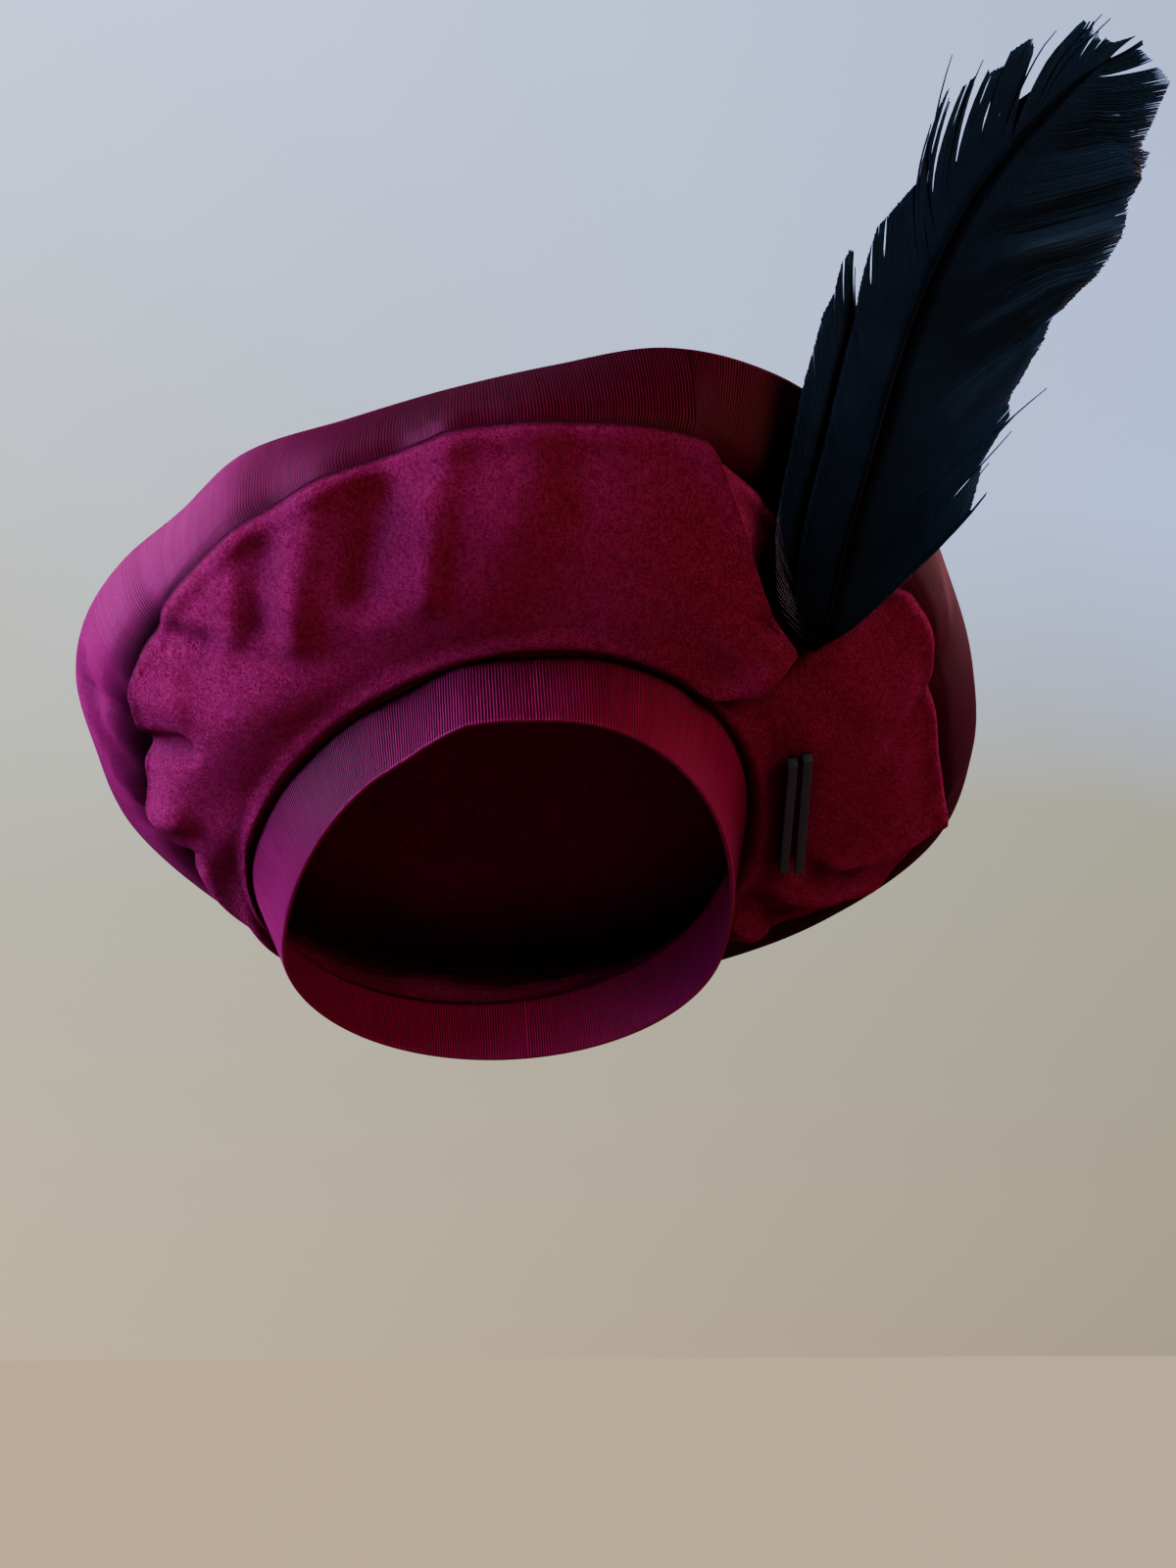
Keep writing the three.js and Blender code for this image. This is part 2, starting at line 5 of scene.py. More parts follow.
import bpy
import numpy as np
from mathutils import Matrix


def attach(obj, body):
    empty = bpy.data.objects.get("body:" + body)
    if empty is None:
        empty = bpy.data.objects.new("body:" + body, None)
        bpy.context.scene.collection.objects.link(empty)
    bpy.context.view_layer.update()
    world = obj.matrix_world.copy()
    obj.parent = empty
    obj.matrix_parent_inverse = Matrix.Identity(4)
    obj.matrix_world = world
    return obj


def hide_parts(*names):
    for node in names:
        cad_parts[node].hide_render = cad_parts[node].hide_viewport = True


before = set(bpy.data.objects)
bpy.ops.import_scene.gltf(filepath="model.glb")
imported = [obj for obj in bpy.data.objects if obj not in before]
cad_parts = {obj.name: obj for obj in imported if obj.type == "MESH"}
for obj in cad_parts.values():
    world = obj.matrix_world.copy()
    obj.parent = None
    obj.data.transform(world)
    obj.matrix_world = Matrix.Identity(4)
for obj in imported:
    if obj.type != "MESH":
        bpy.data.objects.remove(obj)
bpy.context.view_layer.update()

# Sizes are in millimetres and angles in degrees, and meshes are written in metres.
# In the hat's own frame the origin is the middle of the head opening at the band's lower edge, the front
# is -Y, the wearer's left is +X, and angles round the hat start at the front and grow toward the left.
MM = 0.001
LEAN_BACK = 38
LIFT_LEFT = 5

# How thick the felt and the rim's ribbon are, and the gaps between pieces.
FELT = 2
RIBBON = 1.2
GAP = 0.3
TOP_GAP = 0.6

# Shape of the crown, the same as the solids.
BAND = {"tall": 25, "thick": 1.6}
LOWER_OVAL = {"half": 76, "ahead": 124, "behind": 72, "x": -2, "front": -31, "turn": 11}
UPPER_OVAL = {"half": 82, "ahead": 112, "behind": 88, "x": -4, "front": -16, "turn": 24}
CROWN_COLUMNS = ("at", "seam_r", "seam_h", "edge_r", "edge_h")
CROWN = (
    (-180, 114, 39, 152, 60),
    (-150, 112, 40, 146, 66),
    (-125, 111, 42, 141, 71),
    (-105, 114, 44, 142, 75),
    (-88, 118, 45, 140, 76),
    (-72, 124, 46, 145, 78),
    (-62, 130, 47, 146, 80),
    (-51, 137, 49, 144, 82),
    (-40, 142, 51, 140, 85),
    (-28, 147, 53, 143, 88),
    (-14, 151, 55, 139, 90),
    (0, 158, 57, 142, 92),
    (12, 161, 57, 151, 92),
    (24, 162, 58, 164, 93),
    (36, 158, 57, 168, 93),
    (48, 157, 56, 167, 92),
    (62, 157, 55, 166, 90),
    (75, 155, 50, 165, 87),
    (90, 154, 47, 170, 83),
    (103, 159, 45, 177, 78),
    (118, 150, 46, 181, 69),
    (135, 132, 46, 167, 60),
    (155, 118, 42, 154, 57),
)
PUFF = {"reach": 0.62, "sag": 1.5}
RIBBON_BOW = 2
SEWN = {"underside": 0.12, "ribbon": 0.2}
CROWN_TOP = {"x": 15, "front": -3, "tall": 88, "dome": 2, "edge_turn": 4}

# Folds as lines from one place to another: angle and share of the way across, half width and lift.
FELT_ROUND = 125
FELT_DEEP = 75
FOLDS = (
    ((-29, 0.97), (-36, 0.66), 6, 2),
    ((-23, 0.97), (-31, 0.62), 6, -3),
    ((-15.5, 0.98), (-28, 0.48), 7, 4.2),
    ((-6.5, 0.97), (-15, 0.5), 7, -5),
    ((-0.5, 0.98), (-6, 0.42), 6.5, 4),
    ((9, 0.98), (3, 0.4), 16, 3.4),
    ((-2.5, 0.97), (-4, 0.84), 3, -1.8),
    ((13, 0.97), (14, 0.66), 7, -1.8),
    ((45, 0.95), (49, 0.56), 12, -9),
    ((27, 0.97), (44, 0.53), 4.5, 2.5),
    ((-48, 1.0), (-42, 0.72), 5, -4),
    ((-71, 1.0), (-62, 0.58), 5, -6),
    ((-100, 1.0), (-93, 0.6), 6, -4),
    ((-58, 0.92), (-55, 0.7), 9, 4),
    ((-85, 0.88), (-80, 0.6), 9, 4),
    ((78, 0.97), (82, 0.72), 7, -4),
    ((68, 0.97), (70, 0.6), 10, 3),
    ((71, 0.3), (74, 0.22), 7, 3),
    ((101, 0.9), (106, 0.42), 5, 6.5),
    ((106.5, 0.93), (111, 0.6), 4.5, -7),
    ((118, 0.85), (116, 0.3), 8, 6),
    ((126, 0.7), (124, 0.4), 5, -5),
    ((128, 0.18), (131, 0.5), 7, 5),
    ((142, 0.35), (140, 0.75), 8, -6),
)
RIBBON_ROUND = 145
RIBBON_DEEP = 38
WRINKLES = (
    ((-66, 0.95), (-82, 0.35), 4, -1.6),
    ((-72, 0.9), (-90, 0.4), 4, 1.4),
    ((-76, 0.1), (-64, 0.35), 5, -2),
    ((70, 0.5), (76, 0.5), 7, 1),
)

# Pleat: a crease from the band to the tuck, then a ridge, a valley and a second ridge up to the rim.
PLEAT = {
    "ridge_at_rim": 26,
    "ridge_run": 34,
    "ridge_hook": 11,
    "hook_fades": 0.055,
    "crease_at_band": 45,
    "crease_run": 11,
    "crease_turns": 0.34,
    "far_ridge": 56,
    "far_spread": 6.5,
    "far_bend": 3,
    "narrowest": 2,
    "tuck": 0.44,
    "opens_below": 0.08,
    "opens_above": 0.14,
    "deep": 15,
    "steep": 0.4,
    "step_run": 0.4,
    "leans_from": -10,
    "leans_to": 90,
    "lip": 3.5,
    "lip_fades": 14,
    "hollow": 4,
    "hollow_fades": 9,
    "far_lip": 0.5,
    "far_lip_fades": 12,
}

# Small cloth detail of the felt: rolled edges and the least thickness they keep, the crease, the ditch beside
# the seam, puckers along the seam and slow unevenness.
ROLL = {"wide": 3, "deep": 3.8, "puff": 2.2, "puff_at": 5, "puff_wide": 3}
BAND_ROLL = {"wide": 3, "deep": 1, "puff": 2.2, "puff_at": 4.2, "puff_wide": 3.2}
THINNEST = 0.12
CREASE = {"deep": 7, "wide": 2.6, "beside": 2.5, "lip": 2.6, "lip_wide": 6, "past_tuck": 0.05, "ends": 0.1}
# In the ditch the painted seam shade reaches wider: the two shade entries say by how much, for felt and
# ribbon.
DITCH = {
    "at": -86,
    "round": 42,
    "felt": 3.2,
    "felt_wide": 7,
    "felt_painted_shade": 2.4,
    "ribbon": 8,
    "ribbon_wide": 11,
    "ribbon_painted_shade": 9,
}
SEAM = {"deep": 4, "wide": 2.6}
BAND_CORNER = {"at": -3, "reach": 13, "high": 3, "pulled_in": 0.3, "ends": 2.2}
PUCKERS = {"count": 58, "least": 2, "most": 4.5, "shallow": 0.2, "deepest": 1.1, "reach": 0.16, "seed": 4}
UNEVEN = {"waves": 12, "least_turns": 2, "most_turns": 16, "across": 2.5, "lift": 0.32, "seed": 9}

# How finely the felt is divided, and how its columns and rows gather at the pleat and at the rim.
FELT_SHEET = {"columns": 620, "rows": 52, "gather": 14, "gather_at": 42}
TOP_SHEET = {"columns": 420, "rows": 46, "gather": 1.15, "calm": 0.15}
EDGE_STEPS = (0, 0.15, 0.45, 1)

# Ribbons: the ribs' section, and for each ribbon the edge that meets the felt, 0 for the lower and 1 for the
# upper, how much wider the painted seam shade is in the ditch, its cut size in metres and what it rests on.
RIB = {
    "pitch": 0.97,
    "section": (1, -0.6, -0.6),
    "deep": 0.26,
    "starts": 0.2,
    "selvedge": 0.9,
    "edge_in": 0.25,
    "edge_wide": 0.35,
}
# Steps round a ribbon that measure its length.
MEASURED_STEPS = 7200
RIM_SHEET = {
    "thick": RIBBON,
    "wide": RIBBON_DEEP,
    "rows": 9,
    "felt_at": 0,
    "shade": DITCH["ribbon_painted_shade"],
    "flat": (0.95, 0.04),
    "rests_on": ["crown_top", "underside"],
}
BAND_SHEET = {
    "thick": BAND["thick"],
    "wide": BAND["tall"],
    "rows": 8,
    "felt_at": 1,
    "shade": 0,
    "flat": (0.54, 0.026),
    "rests_on": ["underside"],
}

# Feathers, in the worn hat's frame. A side of a vane is a table of barbs: where one leaves the shaft, its
# length and its angle from the shaft. Two rows close together make a step in the outline.
SHAFT = (
    (99.4, -37.4, 80.4),
    (102.5, -44, 90),
    (107, -53, 112),
    (113, -58, 134),
    (123.5, -61, 171),
    (133, -63, 195),
    (146.5, -64, 219),
    (173, -65, 248),
    (185, -65, 257),
)
FRONT_LEFT = (
    (0, 10, 60),
    (2, 16, 45),
    (8, 22, 36),
    (22, 28.5, 31),
    (35, 30, 30),
    (71, 33.5, 30),
    (78, 38, 30),
    (89, 42, 30),
    (102, 37, 30),
    (115.6, 32, 30),
    (115.7, 43, 30),
    (118.4, 45, 31),
    (118.5, 47, 31),
    (123.4, 50, 31),
    (123.5, 46, 30),
    (136.4, 44, 30),
    (136.5, 42, 30),
    (150.1, 36, 30),
    (150.2, 39.5, 30),
    (160, 37, 30),
    (165.7, 29, 30),
    (165.8, 37, 20),
    (179, 30, 26),
    (187.5, 23, 29),
    (191, 17, 24),
    (197, 13, 14),
    (206, 11, 3),
)
FRONT_RIGHT = (
    (0, 66, 32),
    (12, 65.5, 32),
    (17, 64, 32),
    (20, 67, 32),
    (26, 71.5, 32),
    (27, 73, 32),
    (34, 70.5, 32),
    (39, 70.5, 32),
    (39.6, 72.5, 32),
    (54, 76, 32),
    (65, 75, 32),
    (66, 79, 32),
    (71, 81, 32),
    (83.5, 85, 32),
    (93, 84, 32),
    (105, 81, 32),
    (123, 70, 32),
    (141, 64, 32),
    (153.5, 56, 32),
    (160, 50, 32),
    (178, 39, 32),
    (190, 33, 30),
    (196.4, 24.4, 25),
    (196.6, 21.5, 22),
    (203, 13.5, 12),
    (206, 12, 6),
)
BACK_LEFT = (
    (0, 12, 62),
    (1.5, 22, 46),
    (5, 29, 37),
    (10, 38.5, 31),
    (17, 41.5, 30),
    (27, 43, 30),
    (39, 45, 30),
    (53, 45, 30),
    (58.8, 46, 30),
    (68, 44, 30),
    (73.5, 46, 30),
    (79, 45, 30),
    (82, 42, 30),
    (83, 24, 30),
    (90, 20, 30),
    (130, 16, 30),
    (165, 14, 28),
    (190, 8, 24),
)
BACK_RIGHT = (
    (2, 60, 31),
    (16, 66, 32),
    (34, 71, 32),
    (50, 75, 32),
    (62, 79, 32),
    (90, 83, 32),
    (122, 73, 32),
    (141, 69, 32),
    (156, 59, 32),
    (163, 46, 32),
    (176, 30, 32),
    (190, 12, 28),
)
# Slits: where one starts at the shaft, how far it opens, and its place along the barbs, where 1 is the tip.
FRONT_LEFT_SLITS = (
    (44, 0.5, 0.9),
    (86, 2.2, 0.84),
    (95, 1.9, 0.84),
    (110, 1, 0.45),
    (118.5, 3, 1),
    (121.8, 1.3, 0.2),
    (126, 5.6, 1),
    (131, 1.4, 1),
    (137.5, 6.5, 1),
    (143, 1.8, 0.85),
    (148.8, 2, 0.6),
    (156.5, 1.3, 0.36),
    (163, 1.5, 0.33),
    (165.8, 3.4, 1),
    (174, 0.8, 0.5),
    (183.5, 1.4, 1),
    (186.6, 2, 1),
    (189.5, 2.4, 1),
    (193, 2, 1),
)
FRONT_RIGHT_SLITS = (
    (17, 1.2, 1),
    (26.6, 1, 1),
    (39.4, 1, 1),
    (65.6, 1.6, 1),
    (129, 0.8, 0.58),
    (141.2, 0.6, 1),
    (171, 0.9, 0.4),
    (178, 0.8, 0.65),
    (196.5, 2.4, 1),
    (203.2, 2.2, 1),
)
BACK_LEFT_SLITS = ((58, 0.8, 1), (69, 1, 1), (76, 1.4, 1))
BACK_RIGHT_SLITS = ((62, 1.5, 1), (122, 1.5, 1))
SLIT = {"reach": 2.2, "lens": 0.13}
# Ripples of the right vane and paler stretches of barbs, partly painted sheen of cool light and partly the
# paler underside where tips curl: place on the shaft, half width, then how far a ripple stands forward, or
# from where to where along the barbs the paler stretch goes and how pale it is.
RIPPLES = (
    (18, 7, 1.6),
    (36, 6, -1.2),
    (57, 5, 1.5),
    (67, 5, -1.3),
    (84, 6, 1.2),
    (112, 8, 2.4),
    (140, 7, 1.4),
    (163, 8, -1.2),
)
FRONT_PALE_SHEEN = (
    (14, 6, 0.8, 1.1, 0.7),
    (34, 4, 0.86, 1.1, 0.3),
    (56, 4, 0.3, 0.95, 0.35),
    (59, 6, 0.84, 1.1, 0.8),
    (67, 3, 0.25, 0.8, 0.35),
    (88, 3, 0.2, 0.7, 0.25),
    (112, 5.5, 0.35, 1.1, 0.8),
    (138, 3, 0.15, 0.7, 0.3),
)
BACK_PALE_SHEEN = ((60, 6, 0.8, 1.1, 0.6), (138, 16, 0.82, 1.1, 1))
PALE_SHEEN_FADE = {"in": 0.25, "out": 0.2}
# Loose barbs: where they leave the shaft, side, length, angle, and how far they stray forward.
STRAYS = (
    (2, 1, 72, 32, 1.5),
    (5, 1, 70, 33, 2.5),
    (16.5, 1, 67, 33, -1),
    (22, 1, 74, 33, 2),
    (27.5, 1, 77, 32.5, -2),
    (36, 1, 82, 35, 2.5),
    (128, -1, 53, 36, 2.5),
    (134, -1, 49, 29, 1),
    (159, -1, 40, 22, 3),
    (174, -1, 38, 17, 3),
    (177, -1, 36, 14, 3),
)
SHAFT_STEPS = 800
SWEEP = 0.28
VANE_WIDE = 45
# The second feather leaves the first one's line from one height on, over a stretch of its shaft.
PARTING = {"from": 79.5, "over": 35}
FRONT_FEATHER = {
    "left": 0,
    "behind": 0,
    "vanes": ((FRONT_LEFT, FRONT_LEFT_SLITS), (FRONT_RIGHT, FRONT_RIGHT_SLITS)),
    "strays": STRAYS,
    "pale": FRONT_PALE_SHEEN,
    "seed": 3,
}
BACK_FEATHER = {
    "left": 3.5,
    "behind": 3.4,
    "vanes": ((BACK_LEFT, BACK_LEFT_SLITS), (BACK_RIGHT, BACK_RIGHT_SLITS)),
    "strays": (),
    "pale": BACK_PALE_SHEEN,
    "seed": 8,
}
BARB = {
    "every": 0.55,
    "parts": 10,
    "wide": 0.7,
    "tip": 0.34,
    "thick": 0.11,
    "tile": 9,
    "bend": 9,
    "camber": 2.2,
    "uneven": 0.004,
    "wander": 0.14,
    "layer": 0.05,
    "taper": 4,
    "ripple_grows": 1.5,
}
QUILL = {"root": 0.85, "tip": 0.22, "taper": 0.8, "sides": 10, "rings": 60, "proud": 0.1, "bare": 1}

# Bars: where they start and end round the hat, their section, and how far from the axis their ends are. The
# ends' rings are given by how far in they are and how much of the section is left.
BAR = {"thick": 3.2, "from": 72, "to": 106.5, "clear": 0.4, "bevel": 0.35}
BAR_STEPS = {"corner": 4, "rings": 6, "spots": 20}
BAR_ENDS = ((0, 0.9), (0.1, 0.97), (BAR["bevel"], 1))
LEFT_BAR = (102.9, 99.8)
RIGHT_BAR = (108, 105.4)
# Steps of halving that find the felt's height above a bar.
HALVINGS = 30

# Colours of the cloths, feathers and bars. The cloths' "seam" colour is painted shade beside the seam, the
# ribbon's "valley" painted shade between its ribs, and the barbs' "pale" partly painted sheen.
WHITE = (1, 1, 1)
BLACK = (0, 0, 0)
FELT_COLOURS = {
    "dark": (0.36, 0.0042, 0.12),
    "light": (0.45, 0.006, 0.16),
    "fine": (0.62, 0.03, 0.28),
    "curls": (0.78, 0.06, 0.42),
    "between": (0.58, 0.5, 0.54),
    "seam": (0.08, 0.06, 0.06),
}
RIBBON_COLOURS = {
    "dark": (0.22, 0.006, 0.11),
    "light": (0.31, 0.01, 0.16),
    "valley": (0.1, 0.07, 0.09),
    "seam": (0.12, 0.1, 0.12),
}
# How light each grosgrain's rib crests are painted: painted light, brighter on the band's copy than on the
# rim's.
RIM_PAINTED_CREST_LIGHT = 1.0
BAND_PAINTED_CREST_LIGHT = 1.7
BARB_COLOURS = {
    "dark": (0.0014, 0.003, 0.009),
    "light": (0.0028, 0.0065, 0.016),
    "pale": (0.019, 0.038, 0.066),
}
SHAFT_COLOURS = {"dark": (0.0012, 0.0014, 0.002), "light": (0.003, 0.0028, 0.003)}
BAR_COLOURS = {"dark": (0.028, 0.055, 0.14), "light": (0.038, 0.072, 0.18)}

# Painted shade of the cloths: from where to where beside the seam it fades, and how it gathers in hollows.
FELT_PAINTED_SEAM_SHADE = (1, 2.6)
RIBBON_PAINTED_SEAM_SHADE = (0.64, 2.08)
HOLLOW_PAINTED_SHADE = {"samples": 8, "open": 0.95, "strength": 0.93}

# Room and table, in metres. Both glow, black under the lamps, with painted light that stands in for the lit
# room, and the glow fades with height and sideways: "down" and "left" say how far below and left of the
# origin a fade starts, "tall" and "wide" how far it reaches. The ramps run from low to high.
ROOM = {"half": 3, "near": -3, "far": 2, "floor": -1.2, "ceiling": 3}
ROOM_PAINTED_LIGHT = {
    "down": 0.677,
    "tall": 1.671,
    "left": 0.686,
    "wide": 1.438,
    "cloud": 1.42,
    "left_ramp": (
        (0, (0.8, 0.63, 0.4)),
        (0.35, (0.7, 0.67, 0.53)),
        (0.62, (0.81, 0.86, 0.82)),
        (1, (1, 1.15, 1.75)),
    ),
    "right_ramp": (
        (0, (0.49, 0.4, 0.27)),
        (0.4, (0.5, 0.48, 0.36)),
        (0.62, (0.6, 0.82, 1.5)),
        (1, (0.58, 0.75, 1.25)),
    ),
}
TABLE = {"half": 3, "near": -2, "far_left": 0.5, "far_right": 0.6, "top": -0.292}
TABLE_PAINTED_LIGHT = {
    "down": 0.3,
    "tall": 0.79,
    "left": 0.31,
    "wide": 0.68,
    "cloud": 3,
    "left_ramp": ((0, (0.74, 0.54, 0.33)), (1, (0.74, 0.54, 0.33))),
    "right_ramp": ((0, (0.69, 0.53, 0.35)), (1, (0.69, 0.53, 0.35))),
}
CLOUD_STRENGTH = 0.15

# Lamps, in metres and watts: name, place, aim, side, power, spread in degrees and colour. The sky lamp
# lights the feathers alone.
LAMPS = (
    ("window", (-0.4, -0.17, 0.19), (-0.14, 0, 0.06), 0.23, 0.62, 72, (0.8, 0.52, 0.98)),
    ("back_left", (-0.4, 0.02, 0.45), (-0.06, 0, 0.05), 0.3, 1.7, 180, (0.9, 0.5, 0.9)),
    ("right", (0.5, 0.15, 0.36), (0.15, 0, 0.05), 0.3, 2.4, 180, (1, 0.5, 0.5)),
    ("room", (0.76, -0.98, 0.4), (0.05, 0, 0.03), 0.5, 5.2, 180, (1, 0.6, 0.22)),
)
SKY_LAMP = ("sky", (0.7, -0.6, 0.7), (0.12, -0.06, 0.18), 0.35, 7, 180, (0.35, 0.72, 1))
WORLD = {"colour": (1, 0.42, 0.27, 1), "strength": 0.15}
CAMERA = {"place": (0.0276, -0.75, 0.0377), "lens": 52, "sensor": 36}


def cosd(deg):
    return np.cos(np.radians(deg))


def sind(deg):
    return np.sin(np.radians(deg))


def mix(a, b, share):
    return a + (b - a) * share


def ease(x, low, high):
    share = np.clip((x - low) / (high - low), 0, 1)
    return share * share * (3 - 2 * share)


def polar(deg, r, h):
    return np.stack([r * sind(deg), -r * cosd(deg), h + 0 * r], axis=-1)


def worn(points):
    """Turns points of the hat's own frame into the worn hat's frame."""
    lean, lift = -LEAN_BACK, -LIFT_LEFT
    about_x = np.array([[1, 0, 0], [0, cosd(lean), -sind(lean)], [0, sind(lean), cosd(lean)]])
    about_y = np.array([[cosd(lift), 0, sind(lift)], [0, 1, 0], [-sind(lift), 0, cosd(lift)]])
    return points @ (about_y @ about_x).T


def oval_radius(oval, deg):
    """Distance from the hat's axis to an oval of two half ellipses, at each angle."""
    turn = oval["turn"]
    angle = deg - turn
    mid_x = oval["x"] * cosd(turn) - oval["front"] * sind(turn)
    mid_front = oval["x"] * sind(turn) + oval["front"] * cosd(turn)
    half = oval["half"]

    def meet(length):
        a = (sind(angle) / half) ** 2 + (cosd(angle) / length) ** 2
        b = sind(angle) * mid_x / half**2 + cosd(angle) * mid_front / length**2
        c = (mid_x / half) ** 2 + (mid_front / length) ** 2 - 1
        return (b + np.sqrt(b * b - a * c)) / a

    ahead = meet(oval["ahead"])
    return np.where(ahead * cosd(angle) >= mid_front, ahead, meet(oval["behind"]))


def through(places, values, at):
    """Smooth curve through values at places, with each slope from the two neighbours."""
    slopes = np.gradient(values, axis=0)
    slopes[1:-1] = (values[2:] - values[:-2]) / (places[2:] - places[:-2])[:, None]
    slopes[0] = (values[1] - values[0]) / (places[1] - places[0])
    slopes[-1] = (values[-1] - values[-2]) / (places[-1] - places[-2])
    i = np.clip(np.searchsorted(places, at, side="right") - 1, 0, len(places) - 2)
    span = (places[i + 1] - places[i])[..., None]
    u = (at - places[i])[..., None] / span
    near = (2 * u**3 - 3 * u**2 + 1) * values[i] + (u**3 - 2 * u**2 + u) * span * slopes[i]
    return near + (3 * u**2 - 2 * u**3) * values[i + 1] + (u**3 - u**2) * span * slopes[i + 1]


def crown(name, deg):
    rows = np.array(CROWN, float)
    values = rows[:, CROWN_COLUMNS.index(name)][:, None]
    places = np.concatenate([rows[-2:, 0] - 360, rows[:, 0], rows[:3, 0] + 360])
    values = np.concatenate([values[-2:], values, values[:3]])
    return through(places, values, (deg + 180) % 360 - 180)[..., 0]


def fold_lift(folds, round_mm, deep_mm, deg, share):
    """Sum of the soft ridges and hollows of a table, on the sheet laid out flat."""
    x = np.radians(deg) * round_mm
    y = share * deep_mm
    lift = 0 * x
    for (deg_a, share_a), (deg_b, share_b), wide, high in folds:
        ax, ay = math.radians(deg_a) * round_mm, share_a * deep_mm
        dx, dy = math.radians(deg_b) * round_mm - ax, share_b * deep_mm - ay
        t = np.clip(((x - ax) * dx + (y - ay) * dy) / (dx * dx + dy * dy), 0, 1)
        away = np.hypot(x - ax - t * dx, y - ay - t * dy)
        lift = lift + high * np.exp(-((away / wide) ** 2))
    return lift


def pleat_far_edge(share):
    opened = np.clip((share - PLEAT["tuck"]) / (1 - PLEAT["tuck"]), 0, 1)
    return PLEAT["far_ridge"] + PLEAT["far_spread"] * opened ** PLEAT["far_bend"]


def pleat_edge(share):
    bend = 1 - np.clip(share / PLEAT["crease_turns"], 0, 1)
    crease = PLEAT["crease_at_band"] + PLEAT["crease_run"] * (1 - bend**2)
    hook = PLEAT["ridge_hook"] * np.exp(-np.maximum(share - PLEAT["tuck"], 0) / PLEAT["hook_fades"])
    ridge = PLEAT["ridge_at_rim"] + PLEAT["ridge_run"] * (1 - share) + hook
    return np.minimum(np.minimum(crease, ridge), pleat_far_edge(share) - PLEAT["narrowest"])


def leaning(at, share):
    """Angle of the column that ends at an angle on the rim: columns run along the pleat's two edges."""
    low, high = PLEAT["leans_from"], PLEAT["leans_to"]
    rim = [low, pleat_edge(1.0), pleat_far_edge(1.0), high]
    here = [low, pleat_edge(share), pleat_far_edge(share), high]
    deg = at + 0 * share
    for i in range(3):
        inside = (at >= rim[i]) & (at <= rim[i + 1])
        moved = mix(here[i], here[i + 1], (at - rim[i]) / (rim[i + 1] - rim[i]))
        deg = np.where(inside, moved, deg)
    return deg


def pleat_lift(deg, share):
    near = pleat_edge(share)
    far = pleat_far_edge(share)
    opened = ease(share, PLEAT["tuck"] - PLEAT["opens_below"], PLEAT["tuck"] + PLEAT["opens_above"])
    before = PLEAT["lip"] * np.exp(np.minimum(deg - near, 0) / PLEAT["lip_fades"])
    across = np.clip((deg - near) / (far - near), 0, 1)
    valley = -PLEAT["deep"] * np.sin(np.pi * across) ** PLEAT["steep"]
    step = mix(PLEAT["lip"], -PLEAT["hollow"], ease(across, 0, PLEAT["step_run"]))
    between = mix(step, valley + mix(PLEAT["lip"], PLEAT["far_lip"], across), opened)
    beyond = np.maximum(deg - far, 0)
    hollow = -PLEAT["hollow"] * np.exp(-beyond / PLEAT["hollow_fades"])
    after = mix(hollow, PLEAT["far_lip"] * np.exp(-beyond / PLEAT["far_lip_fades"]), opened)
    return np.where(deg < near, before, np.where(deg < far, between, after))


def pucker_lift(deg, share):
    """Small irregular puckers where the felt is gathered into the seam."""
    dice = random.Random(PUCKERS["seed"])
    lift = 0 * deg
    reach = np.exp(-(((1 - share) / PUCKERS["reach"]) ** 2))
    for _ in range(PUCKERS["count"]):
        at = dice.uniform(-180, 180)
        wide = dice.uniform(PUCKERS["least"], PUCKERS["most"])
        away = (deg - at + 180) % 360 - 180
        deep = dice.uniform(PUCKERS["shallow"], 1) * PUCKERS["deepest"]
        lift = lift - deep * np.exp(-((away / wide) ** 2)) * reach
    return lift


def crease_lift(deg, share):
    """The fold line from the tuck down to the band: a rounded lip beside a narrow groove."""
    away = np.radians(deg - pleat_edge(share)) * FELT_ROUND
    lift = CREASE["lip"] * np.exp(-(((away + CREASE["lip_wide"]) / CREASE["lip_wide"]) ** 2))
    lift = lift - CREASE["deep"] * np.exp(-(((away - CREASE["beside"]) / CREASE["wide"]) ** 2))
    before_end = PLEAT["tuck"] + CREASE["past_tuck"] - share
    return lift * ease(share, 0, CREASE["ends"]) * ease(before_end, 0, CREASE["ends"])


def ditch(deg, from_seam, wide):
    """How far both cloths roll into the seam on the wearer's right."""
    return np.exp(-(((deg - DITCH["at"]) / DITCH["round"]) ** 4) - (from_seam / wide) ** 2)


def uneven_lift(deg, share):
    """Slow unevenness of soft felt: a few waves that close up round the hat."""
    dice = random.Random(UNEVEN["seed"])
    lift = 0 * deg
    for _ in range(UNEVEN["waves"]):
        turns = dice.randint(UNEVEN["least_turns"], UNEVEN["most_turns"])
        across = dice.uniform(-UNEVEN["across"], UNEVEN["across"])
        phase = dice.uniform(0, 2 * math.pi)
        angle = np.radians(deg * turns) + 2 * math.pi * across * share
        lift = lift + UNEVEN["lift"] * np.sin(angle + phase)
    return lift


